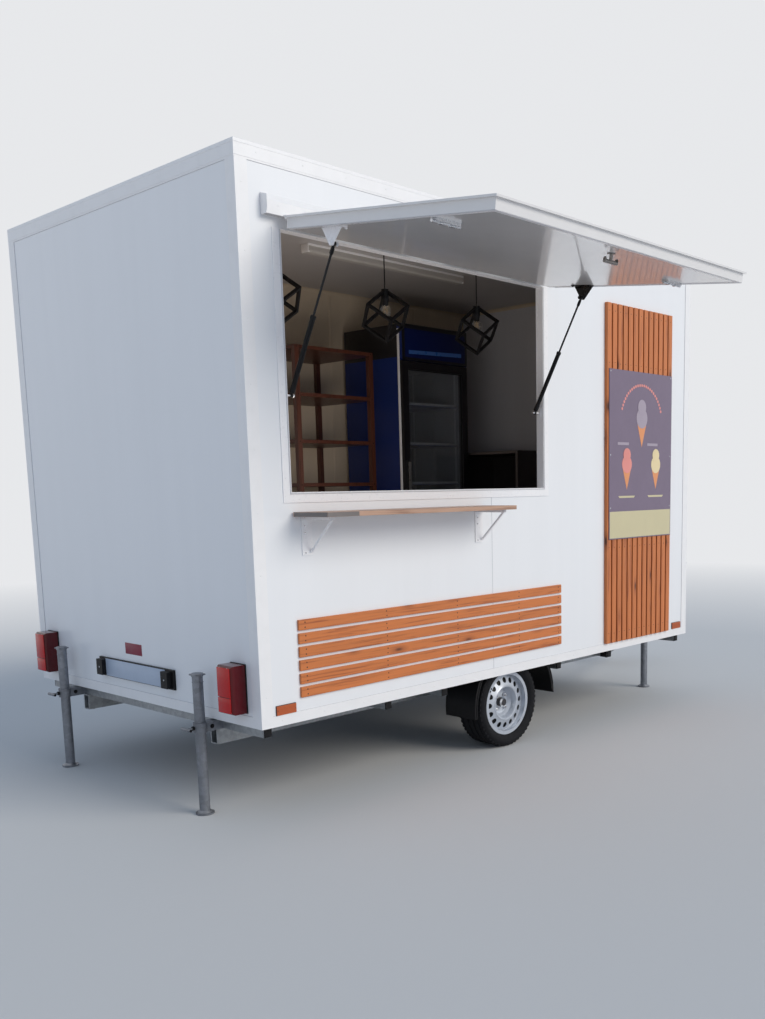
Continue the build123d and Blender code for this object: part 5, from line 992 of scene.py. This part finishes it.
def make_chassis():
    """Bolts, the caps of the cross members, the coupling lever's grip and a junction box."""
    _, cross_y, cross_z = edges("cross_members")
    axle_x = edges("axle_beam")[0][0]
    nose_x, _, (nose_low, _) = edges("drawbar_nose")
    head_x, _, (_, head_top) = edges("coupling_head")
    bolts = Shape()
    for rail in RAILS_Y:
        bolts.bolts(CROSS_X[:-1], about(rail, 14), cross_z[0] - 76, DOWN, 12, 7)
        for y, out in zip(about(rail, 25), (NEARWARD, FARWARD)):
            bolts.bolts((axle_x + 60, axle_x + 150), y, -90, out, 15, 8)
    bolts.bolts((nose_x[0] + 30, nose_x[1] - 40), about(MIDDLE_Y, 52), nose_low, DOWN, 14, 8)
    for y, out in zip(about(MIDDLE_Y, 25), (NEARWARD, FARWARD)):
        bolts.bolts((head_x[0] + 60, head_x[0] + 130), y, -17, out, 12, 7)
    bolts.piece("chassis_bolts", ZINC, smooth=False)

    caps = Shape()
    for x in CROSS_X:
        for y in inset(cross_y, 1):
            caps.block(about(x, 20), about(y, 3), inset(cross_z, 0.5))
    caps.piece("cross_member_caps", BLACK_PLASTIC, bevel=1.0)

    grip_ends = at(head_x[1] - 156, MIDDLE_Y, head_top - 34), at(head_x[1] - 210, MIDDLE_Y, head_top - 7)
    Shape().bar(*grip_ends, 9.5, 18).piece("coupling_grip", BLACK_PLASTIC)
    socket = Shape().block((2662, 2708), (52, 96), (-52, 0)).block((2658, 2712), (48, 54), (-54, -3))
    socket.rivets((2664, 2706), 48, (-49, -8), NEARWARD, 2.4, 1)
    socket.piece("edge_junction_box", BLACK_PLASTIC, bevel=1.6)


STAND_FOOT = [(24.2, 5), (42, 5), (42, 7), (34, 7.6), (27, 16), (24.2, 18)]
STAND_COLLAR = [(24.2, -40), (25.6, -39), (25.6, -36), (24.2, -35)]
STAND_CAP = [(24.2, -12), (27, -11), (27, 0), (25, 3.4), (14, 5), (1, 5.4), (1, 4), (20, 1)]
FOOT_HOLES, CLAMP_HANDLE, CLAMP_BOLTS, CLAMP_Z = 36, 71, 46, -28.0


def make_stands():
    """Foot, collar and cap of each stand, and the handle and bolts of its clamp."""
    for end, out in zip(ENDS, (REARWARD, FORWARD)):
        for side, _ in SIDES:
            node = f"stand_{end}_{side}"
            x, y, z = edges(node)
            middle = (mid(x), mid(y))
            foot, top, clamp = at(*middle, z[0]), at(*middle, z[1]), at(*middle, CLAMP_Z)
            leg = Shape().lathe(STAND_FOOT, foot, UP, 40).lathe(STAND_COLLAR, top, UP, 36)
            leg.lathe(STAND_CAP, top, UP, 36)
            for angle in steps(0, 270, 4):
                dx, dy = FOOT_HOLES * cos(radians(angle)), FOOT_HOLES * sin(radians(angle))
                leg.rivets(middle[0] + dx, middle[1] + dy, z[0] + 7, UP, 3, 1.5)
            leg.piece(f"{node}_fittings", DULL_ZINC, node)
            handle = Shape().stack(clamp, out, (32, 42, 10, 6))
            for way in (NEARWARD, FARWARD):
                handle.stack(clamp + out * CLAMP_HANDLE / 1000, way, (27, 38, 6.8, 16, 5.8))
                handle.bolts(middle[0] - out.x * CLAMP_BOLTS, middle[1] + way.y * 25, CLAMP_Z, way, 12, 6)
            handle.piece(f"clamp_{end}_{side}_fittings", BLACK_METAL, smooth=False)


JOCKEY_TYRE = [(67, 24.5), (92, 26.4), (100, 16.4), (100, -16.4), (92, -26.4), (67, -24.5)]


def make_jockey():
    """Tyre, grip, collars and nuts of the jockey wheel."""
    x, y, z = edges("jockey_wheel")
    centre = at(mid(x), mid(y), mid(z))
    wheel = Shape().lathe(JOCKEY_TYRE, centre, FARWARD, 60)
    for angle in steps(0, radians(300), 6):
        wheel.bar(on_wheel(centre, 24, angle), on_wheel(centre, 64, angle), 13, 10, 13)
    wheel.piece("jockey_tyre", RUBBER, "jockey_wheel", bevel=0.6)
    tube_x, tube_y, tube_z = edges("jockey_tube")
    crank = at(tube_x[1] - 11, mid(tube_y), tube_z[1])
    grip = Shape().stack(crank, UP, (-72, -4, 12.4, 20, 11.6), (-4, 0, 11.6, 20, 8))
    grip.piece("jockey_crank_grip", BLACK_PLASTIC, "jockey_leg")
    collar = Shape()
    for level in (-120.0, 364.5):
        profile = [(24.2, 0), (27, 1), (27, 15), (24.2, 16)]
        collar.lathe(profile, at(tube_x[0] + 24, mid(tube_y), level), UP, 36)
    collar.piece("jockey_collars", ZINC, "jockey_leg")
    pins = Shape()
    for side, out in zip(edges("jockey_fork")[1], (NEARWARD, FARWARD)):
        pins.stack(at(mid(x), side, mid(z)), out, (0, 2, 12, 20), (2, 8, 9, 6))
    pins.piece("jockey_nuts", CHROME, "jockey_fork", smooth=False)


# Rear end
LAMP_WIDE, LAMP_SPLIT = 108, (74, 77)
PLATE_FACE, PLATE_HALF, PLATE_SCREWS, PLATE_LAMPS = -11.0, 281, 170, 305
LABEL_Y, LABEL_Z = (957, 1113), (227, 283)


def make_rear():
    """Lamp lenses, the blank plate in its holder and the blank label above it."""
    x, y, z = edges("rear_lamps")
    for name, low in (("near", y[0]), ("far", y[1] - LAMP_WIDE)):
        lamp = (low, low + LAMP_WIDE)
        split = [z[0] + level for level in LAMP_SPLIT]
        for part, span in (("upper", (split[1], z[1] - 7)), ("lower", (z[0] + 7, split[0]))):
            lens = Shape().block((x[0] - 2, x[0]), inset(lamp, 7), span)
            lens.piece(f"lamp_lens_{part}_{name}", RED_LENS, bevel=1.8)
        base = Shape().block((-3, 3), inset(lamp, -2.5), inset(z, -2.5))
        base.piece(f"lamp_base_{name}", BLACK_PLASTIC, bevel=1.2)
        screws = Shape().rivets(x[0], inset(lamp, 26), inset(z, 9), REARWARD, 3.4, 1.4)
        screws.piece(f"lamp_screws_{name}", CHROME, smooth=False)

    holder = edges("plate_holder")[2]
    plate = Shape().block((PLATE_FACE - 0.8, PLATE_FACE), about(MIDDLE_Y, PLATE_HALF), inset(holder, 4))
    plate.piece("blank_number_plate", PLATE, bevel=0.4)
    wide, tall = about(MIDDLE_Y, PLATE_HALF - 3), inset(holder, 9)
    rim = Shape()
    for y, z in ((wide, (tall[0] - 3, tall[0])), (wide, (tall[1], tall[1] + 3)),
                 ((wide[0], wide[0] + 3), tall), ((wide[1] - 3, wide[1]), tall)):
        rim.block((PLATE_FACE - 1.6, PLATE_FACE - 0.8), y, z)
    rim.rivets(PLATE_FACE - 0.8, about(MIDDLE_Y, PLATE_SCREWS), mid(holder), REARWARD, 5, 1.6, 12)
    rim.piece("number_plate_rim", PLATE, bevel=0.3)
    lamps = Shape()
    for y in about(MIDDLE_Y, PLATE_LAMPS):
        lamps.block((-33, -14), about(y, 22), (holder[0] + 12, holder[0] + 15))
        lamps.rivets(-35, y, mid(holder), REARWARD, 4, 1.2, 12)
    lamps.piece("plate_lamp_lenses", CLEAR_LENS, smooth=False)
    label = Shape().block((REAR_FACE - 0.7, REAR_FACE), LABEL_Y, LABEL_Z)
    label.piece("blank_rear_label", LABEL, bevel=0.3)


MARKER_LONG = 104


def make_markers():
    """Prisms, base and screws of each side marker."""
    ribs, bases = Shape(), Shape()
    x, y, z = edges("side_markers")
    for marker in ((x[0], x[0] + MARKER_LONG), (x[1] - MARKER_LONG, x[1])):
        for face, wall, out in zip(y, (NEAR_FACE, FAR_FACE), (NEARWARD, FARWARD)):
            for middle in spaced(marker, 10, 13):
                ribs.block(about(middle, 1.6), sorted((face, face + out.y * 0.6)), inset(z, 6))
            bases.block(inset(marker, -2.5), sorted((wall, wall + out.y * 3)), inset(z, -2.5))
            bases.rivets(inset(marker, 5), face, mid(z), out, 2.8, 0.9)
    ribs.piece("marker_prisms", AMBER_LENS, smooth=False)
    bases.piece("marker_bases", DARK_BOARD, bevel=0.8)


DOOR_X = (391.0, 1159.0)
DOOR_FACE = 2039.0


def make_door():
    """Kick plate, seal, lock and screws of the entrance door."""
    z = edges("door_leaf")[2]
    plate = Shape().block(inset(DOOR_X, 40), (DOOR_FACE, DOOR_FACE + 1), (z[0] + 40, z[0] + 260))
    plate.rivets(spaced(DOOR_X, 60, 6), DOOR_FACE + 1, (z[0] + 52, z[0] + 248), FARWARD, 3, 1)
    plate.piece("door_kick_plate", ALUMINIUM, "door", bevel=0.4)
    seal = Shape().ring_of_blocks(inset(DOOR_X, 3), (DOOR_FACE - 7, DOOR_FACE - 3.2), inset(z, 3), 8)
    seal.piece("door_seal", RUBBER, "door", bevel=1.0)
    lock_x, lock_z = DOOR_X[1] - 70, z[0] + 909
    lock = Shape().stack(at(lock_x, DOOR_FACE, lock_z), FARWARD, (0, 8, 12, 24, 11))
    lock.block(about(lock_x, 1.2), (DOOR_FACE + 7.6, DOOR_FACE + 8.6), about(lock_z, 6))
    lock.piece("door_lock", CHROME, "door", smooth=False)
    screws = Shape().rivets(inset(DOOR_X, 8), DOOR_FACE, spaced(z, 90, 8), FARWARD, 3, 0.9)
    screws.piece("door_screws", FRAME, "door", smooth=False)


# Fittings inside
BULB_RING = [(13.4, -30), (15.5, -28), (15.5, -2), (20.5, 0), (20.5, 4), (19.2, 5)]


def make_pendants():
    """Holder and ceiling rings of the pendant lamps, their filaments, and the tray of the ceiling light."""
    wires, collars = Shape(), Shape()
    _, bulb_y, (_, holder) = edges("pendant_bulbs")
    y = mid(bulb_y)
    for x in (480.0, 1175.0, 1880.0):
        collars.lathe(BULB_RING, at(x, y, holder), UP, 28)
        collars.lathe([(45.2, -22), (46, -21), (46, -3), (45.2, -1)], at(x, y, CEILING), UP, 40)
        collars.stack(at(x, y, CEILING), UP, (-34, -22, 4, 14, 9))
        points = []
        for index in range(9):
            angle, drop = 2 * pi * index / 8, 36 if index % 2 else 72
            points.append(at(x + 9 * cos(angle), y + 9 * sin(angle), holder - drop))
        wires.chain(points, 0.8, 6)
    collars.piece("lamp_holder_rings", BLACK_PLASTIC)
    wires.piece("bulb_filaments", BRASS)
    x, y, z = edges("batten_light")
    light = Shape().block(inset(x, -2), inset(y, -3), (z[1] - 13, z[1] - 1))
    for end in ((x[0] - 4, x[0] + 8), (x[1] - 8, x[1] + 4)):
        light.block(end, inset(y, 1.5), (z[0] + 1.5, z[1] - 1))
    light.piece("batten_tray", FRAME, bevel=1.0)


def make_cooler():
    """Panels and stripes of the drinks cooler, its liner and shelves, and its door's gasket and pull."""
    x, y, z = edges("fridge_cabinet")
    skin, front = 1, (y[0] - 0.8, y[0])
    black = Shape()
    for side in ((x[0] - skin, x[0]), (x[1], x[1] + skin)):
        black.block(side, (y[0] + 46, y[1] - 2), (z[1] - 210, z[1]))
        black.block(side, (y[0] + 46, y[1] - 2), (z[0], z[0] + 90))
    black.block(inset(x, -skin), (y[0], y[1] - 2), (z[1], z[1] + skin))
    black.block(x, front, (z[1] - 230, z[1]))
    black.block((x[0] - skin, x[0]), (y[0], y[0] + 44), (z[0], z[0] + 190))
    black.block(x, front, (z[0], z[0] + 190))
    for level in steps(z[0] + 30, z[0] + 160, 9):
        black.block(inset(x, 40), (y[0] - 5, front[0]), about(level, 3))
    black.piece("cooler_black_panels", COOLER_BLACK, bevel=0.5)
    header = Shape().block((x[0] + 26, x[1] - 22), (y[0] - 2.2, front[0]), (z[1] - 212, z[1] - 28))
    header.piece("cooler_header_panel", COOLER_DEEP, bevel=0.6)
    left, right = inset(x, 60)
    stripe = Shape()
    stripe.sheet([at(along, y[0] - 2.2, z[1] - down) for along, down in (
        (left, 190), (right, 176), (right, 150), (left, 166))], (0, -0.4, 0))
    stripe.sheet([at(x[0] - 0.2, across, z[0] + up) for across, up in (
        (y[0] + 80, 620), (y[1] - 40, 760), (y[1] - 40, 840), (y[0] + 80, 660))], (-0.6, 0, 0))
    stripe.piece("cooler_stripes", COOLER_STRIPE, smooth=False)
    trim = Shape().block((x[0] - 3, x[0]), (y[0] + 25, y[0] + 45), (z[0] + 190, z[1] - 30))
    trim.piece("cooler_trim", COOLER_TRIM, bevel=1.0)

    thin = 1.2
    inner_x, inner_y, inner_z = inset(x, 42), (y[0] + 44, y[1] - 42), (z[0] + 210, z[1] - 250)
    liner = Shape()
    liner.block((inner_x[0], inner_x[0] + thin), inner_y, inner_z)
    liner.block((inner_x[1] - thin, inner_x[1]), inner_y, inner_z)
    liner.block(inner_x, (inner_y[1] - thin, inner_y[1]), inner_z)
    for span in ((inner_z[0], inner_z[0] + thin), (inner_z[1] - thin, inner_z[1])):
        liner.block(inner_x, inner_y, span)
    for span in ((inner_z[0] - 20, inner_z[0]), (inner_z[1], inner_z[1] + 20)):
        liner.block(inner_x, (inner_y[0] - 1, inner_y[0]), span)
    liner.piece("cooler_inner_liner", COOLER_LINER, smooth=False)
    shelves = Shape()
    shelf_front = inner_y[0] + 23
    for shelf in steps(*inner_z, 7)[1:-1]:
        level = shelf + 8
        shelves.block(inset(inner_x, 2), (shelf_front - 2, shelf_front), (level - 5, level + 11))
        for x in spaced(inner_x, 12, 22):
            shelves.bar(at(x, shelf_front, level + 2), at(x, inner_y[1] - 3, level + 2), 1.7, 6)
        for depth in (shelf_front + 20, mid((shelf_front, inner_y[1])), inner_y[1] - 30):
            shelves.rods(inset(inner_x, 4), depth, level + 4, 2.2)
    for x in (inner_x[0] + thin, inner_x[1] - thin - 4):
        for y in (inner_y[0] + 30, inner_y[1] - 40):
            shelves.block((x, x + 4), (y, y + 14), inset(inner_z, 4))
    shelves.piece("cooler_wire_shelves", COOLER_WIRE)

    door_x, door_y, door_z = edges("fridge_door")
    pane_x, pane_y, pane_z = edges("fridge_glass")
    gasket = Shape().ring_of_blocks(inset(door_x, 6), (door_y[1], door_y[1] + 4.5), inset(door_z, 6), 16)
    gasket.ring_of_blocks(pane_x, (pane_y[0] - 4, pane_y[0]), pane_z, 5)
    gasket.piece("cooler_door_gasket", RUBBER, "cooler_door", bevel=0.8)
    proud = (door_y[0] - 1.5, door_y[0])
    pull = Shape().block((door_x[0] + 9, door_x[0] + 33), proud, about(mid(door_z), 150))
    pull.piece("cooler_pull_strip", ALUMINIUM, "cooler_door", bevel=0.6)


def make_furniture():
    """Edge bands of the counter and the cabinet, and the lips and screw caps of the rack."""
    x, y, z = edges("serving_counter")
    thick = (z[1] - 27.4, z[1] - 0.6)
    band = Shape().block(x, (y[1], y[1] + 1.4), thick)
    for end in ((x[0] - 1.4, x[0]), (x[1], x[1] + 1.4)):
        band.block(end, (y[0] + 2, y[1]), thick)
    band.block(x, (y[0], y[0] + 8), (z[1], z[1] + 8))
    band.piece("counter_edge_band", DARK_BOARD, bevel=0.6)

    x, (face, _), z = edges("shelf_rack")
    pegs, lips = Shape(), Shape()
    for level in (280.0, 540.0, 800.0, 1062.0, 1325.0, 1605.0, z[1]):
        lips.block(inset(x, 32), (face - 1.6, face), (level - 21.4, level - 0.6))
        pegs.rivets(inset(x, 16), face, level - 11, NEARWARD, 4, 1.4, 12)
    lips.piece("rack_shelf_lips", RACK_WOOD, bevel=0.6, smooth=False)
    pegs.piece("rack_screw_caps", BLACK_PLASTIC, smooth=False)

    x, y, z = edges("side_cabinet")
    face = (x[0] - 1.2, x[0])
    edge = Shape()
    for level in (420.0, 900.0, z[1]):
        edge.block(face, inset(y, 20), (level - 19.4, level - 0.6))
    for side in ((y[0] + 0.6, y[0] + 19.4), (y[1] - 19.4, y[1] - 0.6)):
        edge.block(face, side, (z[0] + 4, z[1] - 0.6))
    edge.piece("cabinet_edge_bands", COUNTER, bevel=0.4)


for make in (
    make_shell, make_lining, make_opening, make_hatch, make_struts, make_shelf, make_cladding, make_poster,
    make_wheels, make_guards, make_chassis, make_stands, make_jockey, make_rear, make_markers, make_door,
    make_pendants, make_cooler, make_furniture,
):
    make()


# Camera at the photograph's place, fitted to the box's edges
IMAGE_WIDTH, IMAGE_HEIGHT = 765, 1019
FOCAL_PX = 1001.0
CENTRE_PX = (480.0, 640.0)
SENSOR = 36.0
camera_at = at(-2504.1, -3495.4, 1015.5)
camera_right = Vector((0.66370, -0.74782, -0.01620)).normalized()
camera_forward = Vector((0.73781, 0.65807, -0.15026)).normalized()
camera_up = camera_right.cross(camera_forward).normalized()
camera_right = camera_forward.cross(camera_up).normalized()
camera_data = bpy.data.cameras.new("photo_camera")
camera_data.sensor_width = SENSOR
camera_data.lens = FOCAL_PX / IMAGE_HEIGHT * SENSOR
camera_data.shift_x = (IMAGE_WIDTH / 2 - CENTRE_PX[0]) / IMAGE_HEIGHT
camera_data.shift_y = (CENTRE_PX[1] - IMAGE_HEIGHT / 2) / IMAGE_HEIGHT
camera_data.clip_end = 200.0
camera = placed("photo_camera", camera_data)
axes = zip(camera_right, camera_up, -camera_forward, camera_at)
camera.matrix_world = Matrix((*axes, (0, 0, 0, 1)))
bpy.context.scene.camera = camera


# Studio: floor, world and lamps
BACKDROP = (0.80, 0.81, 0.83, 1.0)
SKY = (0.70, 0.87, 1.12, 1.0)
SKY_STRENGTH = 0.50
FADE_FROM, FADE_TO = 4.0, 13.0


def make_floor():
    """A plain floor that passes into the backdrop away from the object."""
    finish = Finish("studio_floor", (0.60, 0.60, 0.60), 0.9)
    glow = finish.add("ShaderNodeEmission", {"Color": BACKDROP})["Emission"]
    distance = finish.add("ShaderNodeVectorMath", {0: finish.place}, operation="LENGTH")["Value"]
    fade = {"From Min": FADE_FROM, "From Max": FADE_TO, "Value": distance}
    spread = finish.add("ShaderNodeMapRange", fade)["Result"]
    blend = finish.add("ShaderNodeMixShader", {"Fac": spread, 1: finish.shader.outputs["BSDF"], 2: glow})
    finish.tree.links.new(blend["Shader"], finish.tree.nodes["Material Output"].inputs["Surface"])
    mesh = bmesh.new()
    bmesh.ops.create_circle(mesh, cap_ends=True, segments=96, radius=70.0)
    data = bpy.data.meshes.new("studio_floor")
    mesh.to_mesh(data)
    mesh.free()
    data.materials.append(finish.material)
    floor = placed("studio_floor", data)
    floor.location.z = -0.001


def make_world():
    """A plain sky that lights the object, and the backdrop where it is seen, mirrored or through glass."""
    world = bpy.data.worlds.new("studio_world")
    bpy.context.scene.world = world
    world.use_nodes = True
    tree = world.node_tree
    lit = tree.nodes["Background"]
    lit.inputs["Color"].default_value = SKY
    lit.inputs["Strength"].default_value = SKY_STRENGTH
    seen = add_node(tree, "ShaderNodeBackground", {"Color": BACKDROP})["Background"]
    rays = add_node(tree, "ShaderNodeLightPath", {})
    factor = rays["Is Camera Ray"]
    for kind in ("Is Transmission Ray", "Is Glossy Ray"):
        factor = add_node(tree, "ShaderNodeMath", {0: factor, 1: rays[kind]}, operation="MAXIMUM")["Value"]
    mix = add_node(tree, "ShaderNodeMixShader", {"Fac": factor, 1: lit.outputs["Background"], 2: seen})
    tree.links.new(mix["Shader"], tree.nodes["World Output"].inputs["Surface"])


def make_lamp(name, kind, energy, colour, toward):
    """A lamp that shines along a direction."""
    light = bpy.data.lights.new(name, kind)
    light.energy = energy
    light.color = colour
    lamp = placed(name, light)
    lamp.rotation_euler = Vector(toward).to_track_quat("-Z", "Y").to_euler()
    return lamp


bpy.context.scene.view_settings.view_transform = "Standard"
make_floor()
make_world()
sun = make_lamp("key_sun", "SUN", 1.85, (1.0, 0.94, 0.84), (-0.34, 1.0, -0.58))
sun.data.angle = radians(34.0)
room = make_lamp("room_fill", "AREA", 10.0, (1.0, 0.92, 0.84), (-0.1, 0.85, 0.75))
room.data.shape = "RECTANGLE"
room.data.size, room.data.size_y = 1.6, 0.6
room.location = at(950, 330, 1080)
